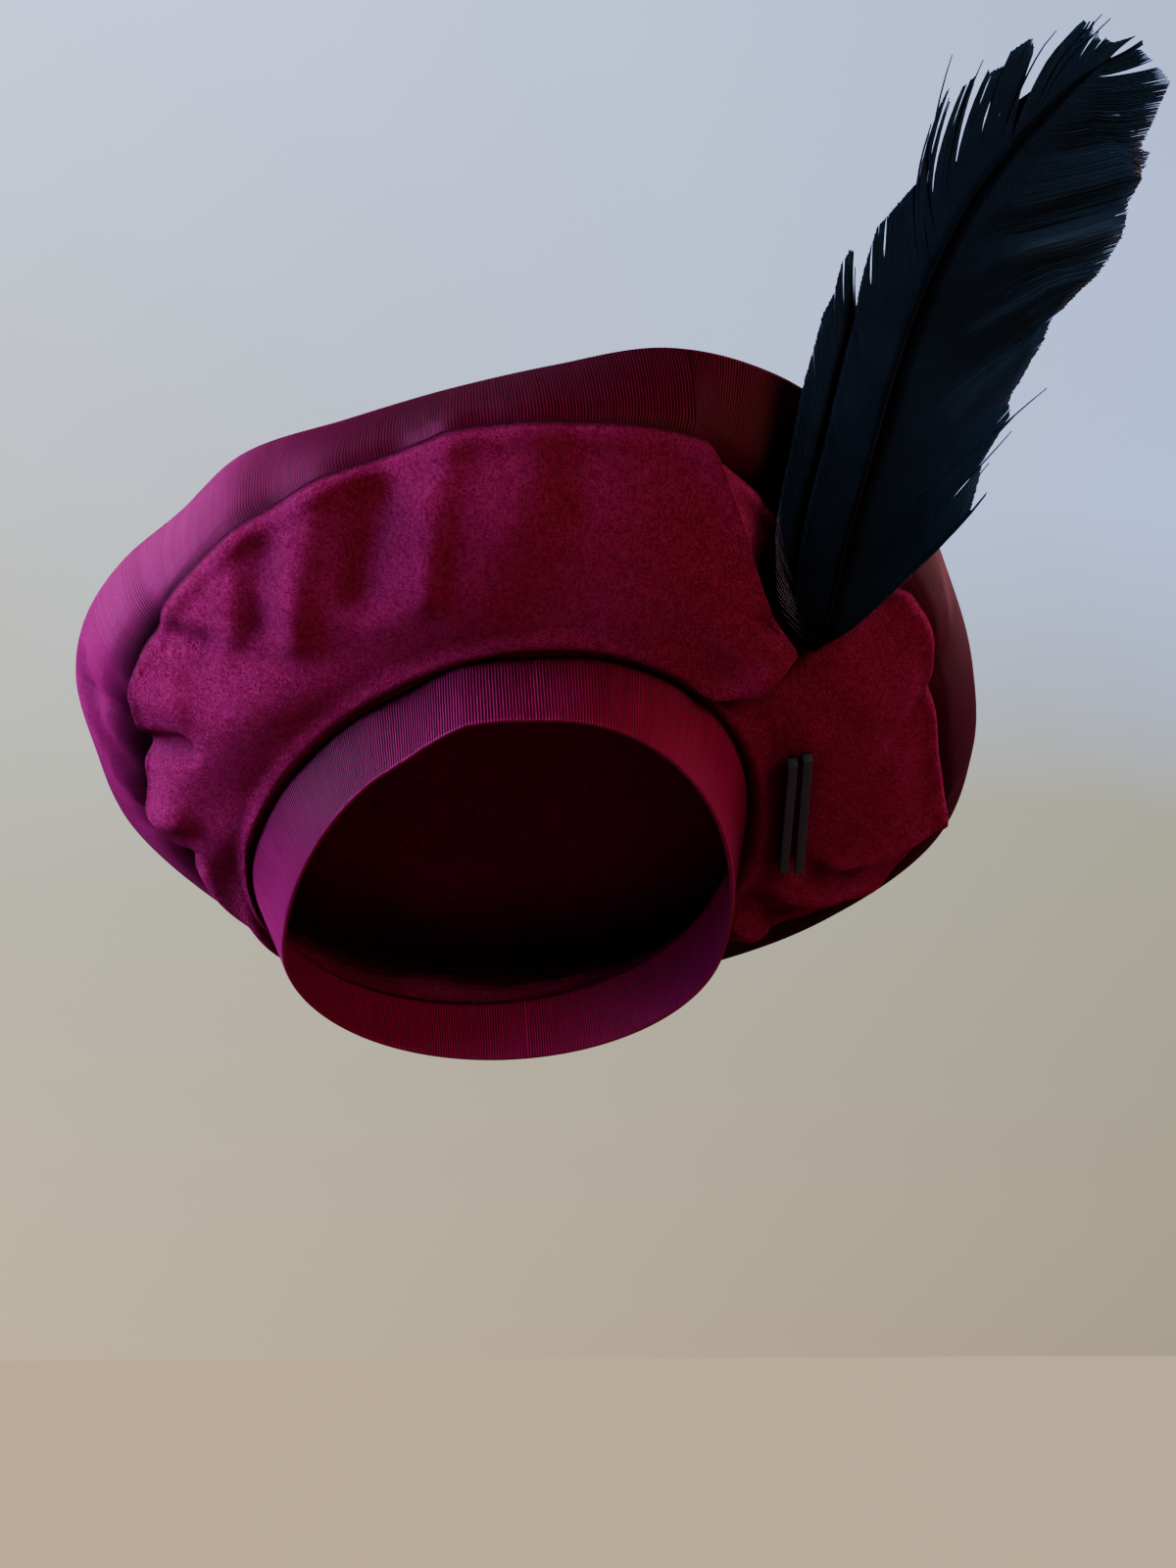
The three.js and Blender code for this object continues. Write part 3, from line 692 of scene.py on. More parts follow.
def underside_profile(deg, share):
    """Radius, height and outward direction of the underside before and after its folds."""
    start_r = oval_radius(UPPER_OVAL, deg)
    start_h = BAND["tall"] + GAP
    end_r, end_h = crown("seam_r", deg), crown("seam_h", deg)
    hold_r = mix(start_r, end_r, PUFF["reach"])
    hold_h = BAND["tall"] - PUFF["sag"]
    r = (1 - share) ** 2 * start_r + 2 * share * (1 - share) * hold_r + share**2 * end_r
    h = (1 - share) ** 2 * start_h + 2 * share * (1 - share) * hold_h + share**2 * end_h
    run_r = (1 - share) * (hold_r - start_r) + share * (end_r - hold_r)
    run_h = (1 - share) * (hold_h - start_h) + share * (end_h - hold_h)
    long = np.hypot(run_r, run_h)
    return r, h, run_h / long, -run_r / long


def underside_place(deg, share):
    r, h, out_r, out_h = underside_profile(deg, share)
    calm = ease(share, 0, SEWN["underside"])
    lift = calm * (fold_lift(FOLDS, FELT_ROUND, FELT_DEEP, deg, share) + pleat_lift(deg, share))
    return r + lift * out_r, h + lift * out_h, out_r, out_h


def ribbon_place(deg, share):
    seam_r, seam_h, out_r, out_h = underside_place(deg, 1.0 + 0 * deg)
    start_r = seam_r - (FELT + GAP) * out_r
    start_h = seam_h - (FELT + GAP) * out_h
    run_r = crown("edge_r", deg) - start_r
    run_h = crown("edge_h", deg) - start_h
    long = np.hypot(run_r, run_h)
    out_r, out_h = run_h / long, -run_r / long
    calm = ease(share, 0, SEWN["ribbon"]) * ease(1 - share, 0, SEWN["ribbon"])
    lift = RIBBON_BOW * 4 * share * (1 - share)
    lift = lift + calm * fold_lift(WRINKLES, RIBBON_ROUND, RIBBON_DEEP, deg, share)
    r = start_r + share * run_r + lift * out_r
    h = start_h + share * run_h + lift * out_h
    return r, h, out_r, out_h


def band_place(deg, share):
    start_r = oval_radius(LOWER_OVAL, deg)
    run_r = oval_radius(UPPER_OVAL, deg) - start_r
    long = np.hypot(run_r, BAND["tall"])
    return start_r + share * run_r, share * BAND["tall"], BAND["tall"] / long, -run_r / long


def closed_round(spots):
    """Lets the last column of a ring run on to the first one's place instead of back to nothing."""
    quads = spots.reshape(-1, 4, 2)
    whole = spots[:, 0].max()
    split = np.ptp(quads[..., 0], axis=1) > whole / 2
    low = quads[..., 0] < whole / 2
    quads[..., 0] += np.where(split[:, None] & low, np.round(whole), 0)
    return quads.reshape(-1, 2)


def add_object(name, data):
    thing = bpy.data.objects.new(name, data)
    bpy.context.scene.collection.objects.link(thing)
    return thing


def add_piece(name, points, faces, material, uv=None):
    mesh = bpy.data.meshes.new(name)
    mesh.from_pydata((points * MM).tolist(), [], faces)
    mesh.polygons.foreach_set("use_smooth", [True] * len(mesh.polygons))
    mesh.materials.append(material)
    if uv is not None:
        layer = mesh.uv_layers.new(name="cloth")
        corners = np.empty(len(mesh.loops), dtype=np.int32)
        mesh.loops.foreach_get("vertex_index", corners)
        spots = uv[corners]
        # Only the sheets that close round the hat are made of quads alone.
        if len(corners) == 4 * len(faces):
            spots = closed_round(spots)
        layer.data.foreach_set("uv", spots.ravel())
    mesh.update()
    piece = add_object(name, mesh)
    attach(piece, "root")
    return piece


def ring_sheet(front, back):
    """Points and faces of a closed ring of cloth from its outer and inner grids of points."""
    rows, count = front.shape[:2]
    points = np.concatenate([front.reshape(-1, 3), back.reshape(-1, 3)])
    behind = rows * count
    faces = []
    for row in range(rows - 1):
        for i in range(count):
            a = row * count + i
            b = row * count + (i + 1) % count
            faces.append((a, b, b + count, a + count))
            faces.append((b + behind, a + behind, a + count + behind, b + count + behind))
    last = (rows - 1) * count
    for i in range(count):
        j = (i + 1) % count
        faces.append((i, i + behind, j + behind, j))
        faces.append((last + j, last + j + behind, last + i + behind, last + i))
    return points, faces


def edge_rows(count, wide, edge):
    """Shares from 0 to 1 with three rows close together at each edge."""
    near = np.array(EDGE_STEPS) * edge / wide
    inner = np.linspace(near[-1], 1 - near[-1], count)
    return np.concatenate([near[:-1], inner, 1 - near[-2::-1]])


def add_cloth(name, deg, place, lifts, spots, material):
    """A ring of cloth between two lifts from a surface. The spots are its own two places in the cloth."""
    r, h, out_r, out_h = place
    front, back = [worn(polar(deg, r + lift * out_r, h + lift * out_h)) for lift in lifts]
    points, faces = ring_sheet(front, back)
    grid = np.stack(spots, axis=-1).reshape(-1, 2)
    return add_piece(name, points, faces, material, np.concatenate([grid, grid]))


def rolled_under(from_edge, roll):
    """How far a rounded edge has rolled under, from 1 at the edge to 0 where the roll begins."""
    return 1 - np.sqrt(1 - np.clip(1 - from_edge / roll["wide"], 0, 1) ** 2)


def puffed(from_edge, roll):
    """The soft swelling beside a rolled edge."""
    return roll["puff"] * np.exp(-(((from_edge - roll["puff_at"]) / roll["puff_wide"]) ** 2))


def make_underside(material):
    at = np.linspace(-180, 180, FELT_SHEET["columns"], endpoint=False)
    gathered = at - FELT_SHEET["gather"] * np.sin(np.radians(at - FELT_SHEET["gather_at"]))
    at = np.sort((gathered + 180) % 360 - 180)
    rows = edge_rows(FELT_SHEET["rows"], FELT_DEEP, ROLL["wide"])[:, None] + 0 * at
    deg = leaning(at[None, :] + 0 * rows, rows)
    from_seam = (1 - rows) * FELT_DEEP
    from_band = rows * FELT_DEEP
    fine = ease(rows, 0, SEWN["underside"]) * (uneven_lift(deg, rows) + pucker_lift(deg, rows))
    fine = fine + puffed(from_seam, ROLL)
    fine = fine + puffed(from_band, BAND_ROLL)
    fine = fine + crease_lift(deg, rows)
    fine = fine - DITCH["felt"] * ditch(deg, from_seam, DITCH["felt_wide"])
    outer = fine - ROLL["deep"] * rolled_under(from_seam, ROLL)
    outer = outer - BAND_ROLL["deep"] * rolled_under(from_band, BAND_ROLL)
    inner = np.minimum(fine - FELT, outer - THINNEST)
    # The second place is the distance from the seam, shrunk in the ditch so that the painted seam shade
    # reaches wider there.
    spots = (from_band, from_seam / (1 + DITCH["felt_painted_shade"] * ditch(deg, 0, 1)))
    place = underside_place(deg, rows)
    piece = add_cloth("underside_felt", deg, place, (outer, inner), spots, material)
    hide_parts("underside")


def even_columns(place_of):
    """Angles and places of evenly spaced columns round a ribbon, measured along its middle."""
    deg = np.linspace(-180, 180, MEASURED_STEPS + 1)
    r, h, _, _ = place_of(deg, 0.5 + 0 * deg)
    points = polar(deg, r, h)
    steps = np.linalg.norm(np.diff(points, axis=0), axis=1)
    along = np.concatenate([[0], np.cumsum(steps)])
    count = int(round(along[-1] / RIB["pitch"])) * len(RIB["section"])
    spots = np.arange(count) * along[-1] / count
    return np.interp(spots, along, deg), spots


def sunk_ribbon_place(deg, share):
    """The rim ribbon with its lower edge rolled into the seam."""
    r, h, out_r, out_h = ribbon_place(deg, share)
    from_seam = share * RIBBON_DEEP
    sunk = DITCH["ribbon"] * ditch(deg, from_seam, DITCH["ribbon_wide"])
    sunk = sunk + SEAM["deep"] * np.exp(-((from_seam / SEAM["wide"]) ** 2))
    return r - sunk * out_r, h - sunk * out_h, out_r, out_h


def cornered_band_place(deg, share):
    """The band with the soft corner where it turns from the front to the wearer's right."""
    r, h, out_r, out_h = band_place(deg, share)
    away = np.abs(deg - BAND_CORNER["at"]) / BAND_CORNER["reach"]
    lift = BAND_CORNER["high"] * (np.maximum(1 - away, 0) - BAND_CORNER["pulled_in"])
    lift = lift * ease(BAND_CORNER["ends"] - away, 0, 1)
    return r + lift * out_r, h + lift * out_h, out_r, out_h


def make_ribbon(name, node, place_of, sheet, material):
    """A grosgrain ribbon with real ribs across it and a flat woven edge on both sides."""
    at, along = even_columns(place_of)
    shares = edge_rows(sheet["rows"], sheet["wide"], RIB["selvedge"])[:, None] + 0 * at
    deg = at[None, :] + 0 * shares
    section = np.array(RIB["section"])[np.arange(len(at)) % len(RIB["section"])]
    from_edge = np.minimum(shares, 1 - shares) * sheet["wide"]
    rib = RIB["deep"] * section[None, :] * ease(from_edge, RIB["starts"] * RIB["selvedge"], RIB["selvedge"])
    edge = -RIB["edge_in"] * (1 - ease(from_edge, 0, RIB["edge_wide"] * RIB["selvedge"]))
    outer = rib + edge
    inner = -sheet["thick"] - edge
    # Distance from the felt, shrunk in the ditch so that the painted seam shade reaches wider there.
    from_felt = np.abs(shares - sheet["felt_at"]) * sheet["wide"] / (1 + sheet["shade"] * ditch(deg, 0, 1))
    spots = (along[None, :] / RIB["pitch"] + 0 * shares, from_felt)
    piece = add_cloth(name, deg, place_of(deg, shares), (outer, inner), spots, material)
    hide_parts(node)


def make_crown_top(material):
    at = np.linspace(-180, 180, TOP_SHEET["columns"], endpoint=False)
    r, h, out_r, out_h = ribbon_place(at, 1.0 + 0 * at)
    run_r, run_h = -out_h, out_r
    top_r = r - (RIBBON + TOP_GAP) * out_r
    top_h = h - (RIBBON + TOP_GAP) * out_h
    rim = polar(at, top_r, top_h)
    drop = polar(at, top_r - FELT * run_r, top_h - FELT * run_h) - rim
    middle = np.array([CROWN_TOP["x"], -CROWN_TOP["front"], CROWN_TOP["tall"]], float)
    share = 1 - np.linspace(0, 1, TOP_SHEET["rows"], endpoint=False) ** TOP_SHEET["gather"]
    share = share[:, None] + 0 * at
    front = middle + (rim[None] - middle) * share[..., None]
    front[..., 2] = mix(middle[2], rim[None, :, 2], share ** CROWN_TOP["dome"])
    calm = ease(1 - share, 0, TOP_SHEET["calm"]) * share
    front[..., 2] += uneven_lift(at[None, :] + 0 * share, share) * calm
    level = np.array([0, 0, -FELT], float)
    turned = (1 - share ** CROWN_TOP["edge_turn"])[..., None]
    back = front + drop[None] + (level - drop[None]) * turned
    points, faces = ring_sheet(worn(front), worn(back))
    count = len(at)
    last = (TOP_SHEET["rows"] - 1) * count
    behind = TOP_SHEET["rows"] * count
    # All of this cloth counts as far from the seam, where the painted seam shade does not reach.
    open_cloth = np.full((2 * behind + 2, 2), float(FELT_ROUND))
    # The ring's inner wall is opened and both faces close on a middle point.
    faces = [face for face in faces if not (face[0] >= last and face[1] >= last + behind)]
    centre = len(points)
    points = np.concatenate([points, worn(np.array([middle, middle + level]))])
    for i in range(count):
        j = (i + 1) % count
        faces.append((last + i, last + j, centre))
        faces.append((last + j + behind, last + i + behind, centre + 1))
    piece = add_piece("crown_top_felt", points, faces, material, open_cloth)
    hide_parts("crown_top")


class Shaft:
    """A feather's shaft: places along it and across it, in the worn hat's frame."""

    def __init__(self, left, behind):
        knots = np.array(SHAFT, float)
        moved = np.clip((knots[:, 2] - PARTING["from"]) / PARTING["over"], 0, 1)
        knots[:, 0] -= left * moved
        knots[:, 1] += behind
        chords = np.concatenate([[0], np.cumsum(np.linalg.norm(np.diff(knots, axis=0), axis=1))])
        self.points = through(chords, knots, np.linspace(0, chords[-1], SHAFT_STEPS))
        steps = np.linalg.norm(np.diff(self.points, axis=0), axis=1)
        self.along = np.concatenate([[0], np.cumsum(steps)])
        ahead = np.gradient(self.points, self.along, axis=0)
        self.ahead = ahead / np.linalg.norm(ahead, axis=1)[:, None]
        self.length = self.along[-1]

    def pick(self, table, along):
        return np.stack([np.interp(along, self.along, table[:, k]) for k in range(3)], axis=-1)

    def place(self, along, across):
        held = np.clip(along, 0, self.length)
        ahead = self.pick(self.ahead, held)
        spot = self.pick(self.points, held) + ahead * (along - held)[..., None]
        side = np.stack([ahead[..., 2], 0 * held, -ahead[..., 0]], axis=-1)
        side /= np.linalg.norm(side, axis=-1)[..., None]
        spot = spot + side * across[..., None]
        spot[..., 1] += SWEEP * across
        return spot


def vane_barbs(table, slits, side, dice):
    """Barbs of one vane, as rows of root, side, length, angle, how far slits move the tip and the middle,
    where along the barb that middle is, and how far the barb stands forward of its neighbours."""
    outline = np.array(table, float)
    rows = []
    count = int((outline[-1, 0] - outline[0, 0]) / BARB["every"])
    for k in range(count):
        root = outline[0, 0] + (k + 0.5) * BARB["every"]
        long = float(np.interp(root, outline[:, 0], outline[:, 1])) * (1 + dice.gauss(0, BARB["uneven"]))
        angle = float(np.interp(root, outline[:, 0], outline[:, 2]))
        tip_shift = dice.gauss(0, BARB["wander"])
        lens_shift, lens_at = 0.0, 0.5
        for at, gap, where in slits:
            shift = math.copysign(gap / 2, root - at) * math.exp(-abs(root - at) / SLIT["reach"])
            if where == 1:
                tip_shift += shift
            elif abs(shift) > abs(lens_shift):
                lens_shift, lens_at = shift, where
        layer = dice.gauss(0, BARB["layer"])
        rows.append((root, side, long, angle, tip_shift, lens_shift, lens_at, layer))
    return rows


def stray_barbs(table):
    """Loose barbs as rows of the same kind, with no slits beside them."""
    return [(root, side, long, angle, 0.0, 0.0, 0.5, curl) for root, side, long, angle, curl in table]


def painted_sheen(table, root, share):
    """Painted sheen and paler underside of the barbs, at a place of the shaft and a share of their length."""
    pale = 0 * (root + share)
    for at, wide, start, end, strength in table:
        along = ease(share, start, start + PALE_SHEEN_FADE["in"]) * ease(end - share, 0, PALE_SHEEN_FADE["out"])
        pale = np.maximum(pale, strength * np.exp(-(((root - at) / wide) ** 2)) * along)
    return pale


def barb_spines(shaft, rows, s):
    """Middle lines of the barbs, each bent from the shaft toward the tip, at the shares s of their length."""
    root, side, long, angle, tip_shift, lens_shift, lens_at, layer = rows
    hold_along = root + 0.5 * long * cosd(angle + BARB["bend"])
    hold_across = 0.5 * long * sind(angle + BARB["bend"])
    tip_along = root + long * cosd(angle) + tip_shift
    tip_across = long * sind(angle)
    along = (1 - s) ** 2 * root + 2 * s * (1 - s) * hold_along + s**2 * tip_along
    along = along + lens_shift * np.exp(-(((s - lens_at) / SLIT["lens"]) ** 2))
    across = side * (2 * s * (1 - s) * hold_across + s**2 * tip_across)
    spine = shaft.place(along, across)
    spine[..., 1] -= BARB["camber"] * np.abs(tip_across) / VANE_WIDE * 4 * s * (1 - s)
    for at, wide, forward in RIPPLES:
        wave = forward * np.exp(-(((root - at) / wide) ** 2))
        spine[..., 1] -= (side > 0) * wave * s ** BARB["ripple_grows"]
    spine[..., 1] -= layer * s**2
    return spine


def barb_faces(count):
    """Faces of closed strips of three lengthwise rows of points, one strip after the other."""
    faces = []
    for barb in range(count):
        start = barb * (BARB["parts"] + 1) * 3
        for part in range(BARB["parts"]):
            a = start + part * 3
            for k in range(3):
                m = (k + 1) % 3
                faces.append((a + k, a + m, a + m + 3, a + k + 3))
        end = start + BARB["parts"] * 3
        faces.append((start + 2, start + 1, start))
        faces.append((end, end + 1, end + 2))
    return faces


def barb_mesh(shaft, barbs, pale):
    """Each barb is a thin closed strip with a raised middle. Returns its painted sheen and place along it
    too.
    """
    rows = np.array(barbs, float).T[..., None]
    root, side = rows[:2]
    s = np.linspace(0, 1, BARB["parts"] + 1)[None, :]
    spine = barb_spines(shaft, rows, s)
    run = np.gradient(spine, axis=1)
    run /= np.linalg.norm(run, axis=-1)[..., None]
    flat = np.cross(run, np.array([0.0, -1.0, 0.0]))
    flat /= np.linalg.norm(flat, axis=-1)[..., None]
    face = np.cross(flat, run)
    tilt = side[..., None] * BARB["tile"]
    flat = flat * cosd(tilt) + face * sind(tilt)
    half = mix(BARB["wide"], BARB["tip"], s ** BARB["taper"])[..., None] / 2
    points = np.stack([spine - flat * half, spine + face * BARB["thick"], spine + flat * half], axis=2)
    # Paler barbs: partly painted sheen, partly the paler underside where tips curl.
    tint = painted_sheen(pale, root, s) * (side > 0)
    shade = np.stack([tint, s + 0 * tint], axis=-1)
    shade = np.repeat(shade[:, :, None, :], 3, axis=2)
    return points.reshape(-1, 3), barb_faces(len(barbs)), shade.reshape(-1, 2)


def tube_faces(rings, sides):
    """Faces of a tube with closed ends, ring after ring."""
    faces = []
    for ring in range(rings - 1):
        for i in range(sides):
            a = ring * sides + i
            b = ring * sides + (i + 1) % sides
            faces.append((a, b, b + sides, a + sides))
    faces.append(tuple(reversed(range(sides))))
    faces.append(tuple((rings - 1) * sides + i for i in range(sides)))
    return faces


def quill_mesh(shaft):
    rings, sides = QUILL["rings"], QUILL["sides"]
    along = np.linspace(-QUILL["bare"], shaft.length, rings)
    centre = shaft.place(along, 0 * along)
    centre[:, 1] -= QUILL["proud"]
    radius = mix(QUILL["root"], QUILL["tip"], np.linspace(0, 1, rings) ** QUILL["taper"])
    turn = np.linspace(0, 2 * np.pi, sides, endpoint=False)
    swing = np.stack([np.cos(turn), np.sin(turn), 0 * turn], axis=-1)
    points = (centre[:, None, :] + swing[None] * radius[:, None, None]).reshape(-1, 3)
    return points, tube_faces(rings, sides)


def make_feather(name, node, feather, vane_look, shaft_look):
    """Returns both pieces of a feather: its barbs and its shaft."""
    dice = random.Random(feather["seed"])
    shaft = Shaft(feather["left"], feather["behind"])
    barbs = stray_barbs(feather["strays"])
    for side, (table, slits) in zip((-1, 1), feather["vanes"]):
        barbs += vane_barbs(table, slits, side, dice)
    points, faces, shade = barb_mesh(shaft, barbs, feather["pale"])
    vane = add_piece(f"{name}_barbs", points, faces, vane_look, shade)
    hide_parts(node)
    points, faces = quill_mesh(shaft)
    return [vane, add_piece(f"{name}_shaft", points, faces, shaft_look)]


def underside_height(deg, radius):
    """Height of the felt at a distance from the hat's axis, found by halving."""
    near, far = 0.0, 1.0
    for _ in range(HALVINGS):
        share = (near + far) / 2
        r, h, _, _ = underside_place(np.array([deg]), np.array([share]))
        if r[0] < radius:
            near = share
        else:
            far = share
    return h[0]


def lowest_felt(start, run):
    """Lowest height of the felt along a bar's middle and both its edges."""
    lowest = math.inf
    for i in range(BAR_STEPS["spots"] + 1):
        spot = start + run * i / BAR_STEPS["spots"]
        deg = math.degrees(math.atan2(spot[0], -spot[1]))
        for reach in (-BAR["thick"] / 2, 0, BAR["thick"] / 2):
            lowest = min(lowest, underside_height(deg, math.hypot(spot[0], spot[1]) + reach))
    return lowest


def bar_section():
    """Outline of a square with rounded corners."""
    inner = BAR["thick"] / 2 - BAR["bevel"]
    outline = []
    for turn in range(4):
        mid = turn * 90 + 45
        for step in np.linspace(0, 90, BAR_STEPS["corner"]):
            angle = turn * 90 + step
            x = inner * math.copysign(1, cosd(mid)) + BAR["bevel"] * cosd(angle)
            y = inner * math.copysign(1, sind(mid)) + BAR["bevel"] * sind(angle)
            outline.append((x, y))
    return outline


def make_bar(name, node, radii, material):
    """A square bar with softened edges, laid across the underside."""
    ends = polar(np.array([BAR["from"], BAR["to"]]), np.array(radii, float), 0.0)
    run = ends[1] - ends[0]
    ahead = run / np.linalg.norm(run)
    flat = np.array([-ahead[1], ahead[0], 0.0])
    up = np.array([0.0, 0.0, 1.0])
    drop = BAR["clear"] + BAR["thick"] / 2
    middle = ends.mean(axis=0) + up * (lowest_felt(ends[0], run) - drop)
    long = np.linalg.norm(run) / 2
    last = [(long - inset, scale) for inset, scale in BAR_ENDS]
    rings = [(-place, scale) for place, scale in last]
    rings += [(long * k / BAR_STEPS["rings"], 1) for k in range(1 - BAR_STEPS["rings"], BAR_STEPS["rings"])]
    rings += reversed(last)
    section = bar_section()
    points = []
    for place, scale in rings:
        for x, y in section:
            points.append(middle + ahead * place + flat * x * scale + up * y * scale)
    faces = [face[::-1] for face in tube_faces(len(rings), len(section))]
    piece = add_piece(name, worn(np.array(points)), faces, material)
    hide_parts(node)


class Look:
    """A procedural material around one Principled shader."""

    def __init__(self, name, **sockets):
        self.material = bpy.data.materials.new(name)
        self.material.use_nodes = True
        self.nodes = self.material.node_tree.nodes
        self.links = self.material.node_tree.links
        self.shader = self.nodes["Principled BSDF"]
        for socket, value in sockets.items():
            self.shader.inputs[socket.replace("_", " ")].default_value = value
        self.coords = self.nodes.new("ShaderNodeTexCoord").outputs["Object"]

    def noise(self, scale, detail, rough, coords=None, twist=0):
        node = self.nodes.new("ShaderNodeTexNoise")
        node.inputs["Distortion"].default_value = twist
        node.inputs["Scale"].default_value = scale
        node.inputs["Detail"].default_value = detail
        node.inputs["Roughness"].default_value = rough
        self.links.new(coords or self.coords, node.inputs["Vector"])
        return node.outputs["Fac"]

    def stretch(self, scale, coords):
        node = self.nodes.new("ShaderNodeMapping")
        node.inputs["Scale"].default_value = scale
        self.links.new(coords, node.inputs["Vector"])
        return node.outputs["Vector"]

    def uv(self):
        node = self.nodes.new("ShaderNodeUVMap")
        node.uv_map = "cloth"
        return node.outputs["UV"]

    def ramp(self, value, stops):
        node = self.nodes.new("ShaderNodeValToRGB")
        ramp = node.color_ramp
        while len(ramp.elements) < len(stops):
            ramp.elements.new(0.5)
        for element, (place, colour) in zip(ramp.elements, stops):
            element.position = place
            element.color = (*colour, 1)
        self.links.new(value, node.inputs["Fac"])
        return node.outputs["Color"]

    def math(self, kind, a, b=0.0):
        node = self.nodes.new("ShaderNodeMath")
        node.operation = kind
        self.fill(node.inputs, (a, b))
        return node.outputs["Value"]

    def part(self, vector, index):
        node = self.nodes.new("ShaderNodeSeparateXYZ")
        self.links.new(vector, node.inputs["Vector"])
        return node.outputs[index]

    def blend(self, kind, share, a, b):
        node = self.nodes.new("ShaderNodeMix")
        node.data_type = "RGBA"
        node.blend_type = kind
        self.fill([socket for socket in node.inputs if socket.enabled], (share, a, b))
        return [socket for socket in node.outputs if socket.enabled][0]

    def fill(self, inputs, values):
        for socket, value in zip(inputs, values):
            if isinstance(value, (int, float)):
                socket.default_value = value
            elif isinstance(value, tuple):
                socket.default_value = (*value, 1)
            else:
                self.links.new(value, socket)

    def between(self, value, tones):
        """Cloudy colour between the dark and the light tone."""
        return self.ramp(value, [(0.3, tones["dark"]), (0.7, tones["light"])])

    def bump(self, height, strength, distance):
        node = self.nodes.new("ShaderNodeBump")
        node.inputs["Strength"].default_value = strength
        node.inputs["Distance"].default_value = distance
        self.links.new(height, node.inputs["Height"])
        return node.outputs["Normal"]

    def hairs(self, scale, wide):
        """Thin curly lines, like short wool fibres, along one level of a twisted noise."""
        level = self.math("SUBTRACT", self.noise(scale, 1.5, 0.5, twist=1.4), 0.5)
        return self.ramp(self.math("ABSOLUTE", level), [(0, WHITE), (wide, BLACK)])

    def painted_seam_shade(self, colour, cloth, fade, dark):
        """Painted shade: darkens cloth beside the seam between felt and ribbon, fading from one distance to
        another.
        """
        near, far = fade
        from_seam = self.math("DIVIDE", self.part(cloth, 1), far)
        return self.blend("MULTIPLY", 1, colour, self.ramp(from_seam, [(near / far, dark), (1, WHITE)]))

    def painted_hollow_shade(self, colour, reach, dark):
        """Painted shade: darkens the colour in seams, creases and pleats, where little room is left before
        the surface.
        """
        node = self.nodes.new("ShaderNodeAmbientOcclusion")
        node.samples = HOLLOW_PAINTED_SHADE["samples"]
        node.inputs["Distance"].default_value = reach
        shade = self.ramp(node.outputs["AO"], [(dark, BLACK), (HOLLOW_PAINTED_SHADE["open"], WHITE)])
        return self.blend("MULTIPLY", HOLLOW_PAINTED_SHADE["strength"], colour, shade)

    def set(self, socket, value):
        self.links.new(value, self.shader.inputs[socket])


def grey(value):
    return (value, value, value)


def felt_look():
    """Burgundy felt: mottled wool with short curly paler fibres and a soft nap."""
    look = Look(
        "felt",
        Roughness=0.95,
        Sheen_Weight=0.16,
        Sheen_Roughness=0.45,
        Sheen_Tint=(1, 0.16, 0.6, 1),
        Specular_IOR_Level=0.03,
    )
    tones = FELT_COLOURS
    mottle = look.noise(230, 3, 0.55)
    fuzz = look.noise(1000, 3, 0.65)
    curls = look.hairs(480, 0.11)
    fine = look.hairs(950, 0.14)
    colour = look.between(mottle, tones)
    colour = look.blend("MULTIPLY", 1, colour, look.ramp(fuzz, [(0.35, tones["between"]), (0.62, grey(1.1))]))
    colour = look.blend("MIX", look.math("MULTIPLY", fine, 0.6), colour, tones["fine"])
    colour = look.blend("MIX", look.math("MULTIPLY", curls, 0.75), colour, tones["curls"])
    # Painted shade: the felt is darkened in a narrow strip beside its seam with the ribbon.
    colour = look.painted_seam_shade(colour, look.uv(), FELT_PAINTED_SEAM_SHADE, tones["seam"])
    # Painted shade in the felt's seams, creases, pleat and folds, from an ambient occlusion node.
    look.set("Base Color", look.painted_hollow_shade(colour, 0.04, 0.25))
    height = look.blend("ADD", 1, look.blend("ADD", 0.5, fuzz, curls), fine)
    look.set("Normal", look.bump(height, 1, 0.002))
    return look.material


def ribbon_look(name, crest):
    """Burgundy grosgrain, uneven thread to thread: satin ribs, crests painted light, valleys painted shade.
    """
    look = Look(
        name,
        Roughness=0.5,
        Sheen_Weight=0.03,
        Sheen_Roughness=0.4,
        Sheen_Tint=(0.8, 0.3, 0.9, 1),
        Specular_IOR_Level=0.1,
    )
    tones = RIBBON_COLOURS
    cloth = look.uv()
    threads = look.noise(1, 2, 0.6, look.stretch((0.9, 0.05, 1), cloth))
    twist = look.noise(1, 3, 0.7, look.stretch((4, 6, 1), cloth))
    wave = look.math("COSINE", look.math("MULTIPLY", look.part(cloth, 0), 2 * math.pi))
    wave = look.math("MULTIPLY", look.math("ADD", wave, 1), 0.5)
    colour = look.between(threads, tones)
    colour = look.blend("MULTIPLY", 1, colour, look.ramp(twist, [(0.35, grey(0.82)), (0.65, grey(1.12))]))
    # Painted shade in the valleys between the ribs, painted light on their crests.
    colour = look.blend("MULTIPLY", 1, colour, look.ramp(wave, [(0.2, tones["valley"]), (0.8, grey(crest))]))
    # Painted shade: the ribbon is darkened in a strip beside its seam with the felt, wider in the ditch.
    colour = look.painted_seam_shade(colour, cloth, RIBBON_PAINTED_SEAM_SHADE, tones["seam"])
    # Painted shade in the ribbon's seams and folds, from an ambient occlusion node.
    look.set("Base Color", look.painted_hollow_shade(colour, 0.03, 0.2))
    look.set("Normal", look.bump(twist, 0.35, 0.0002))
    return look.material


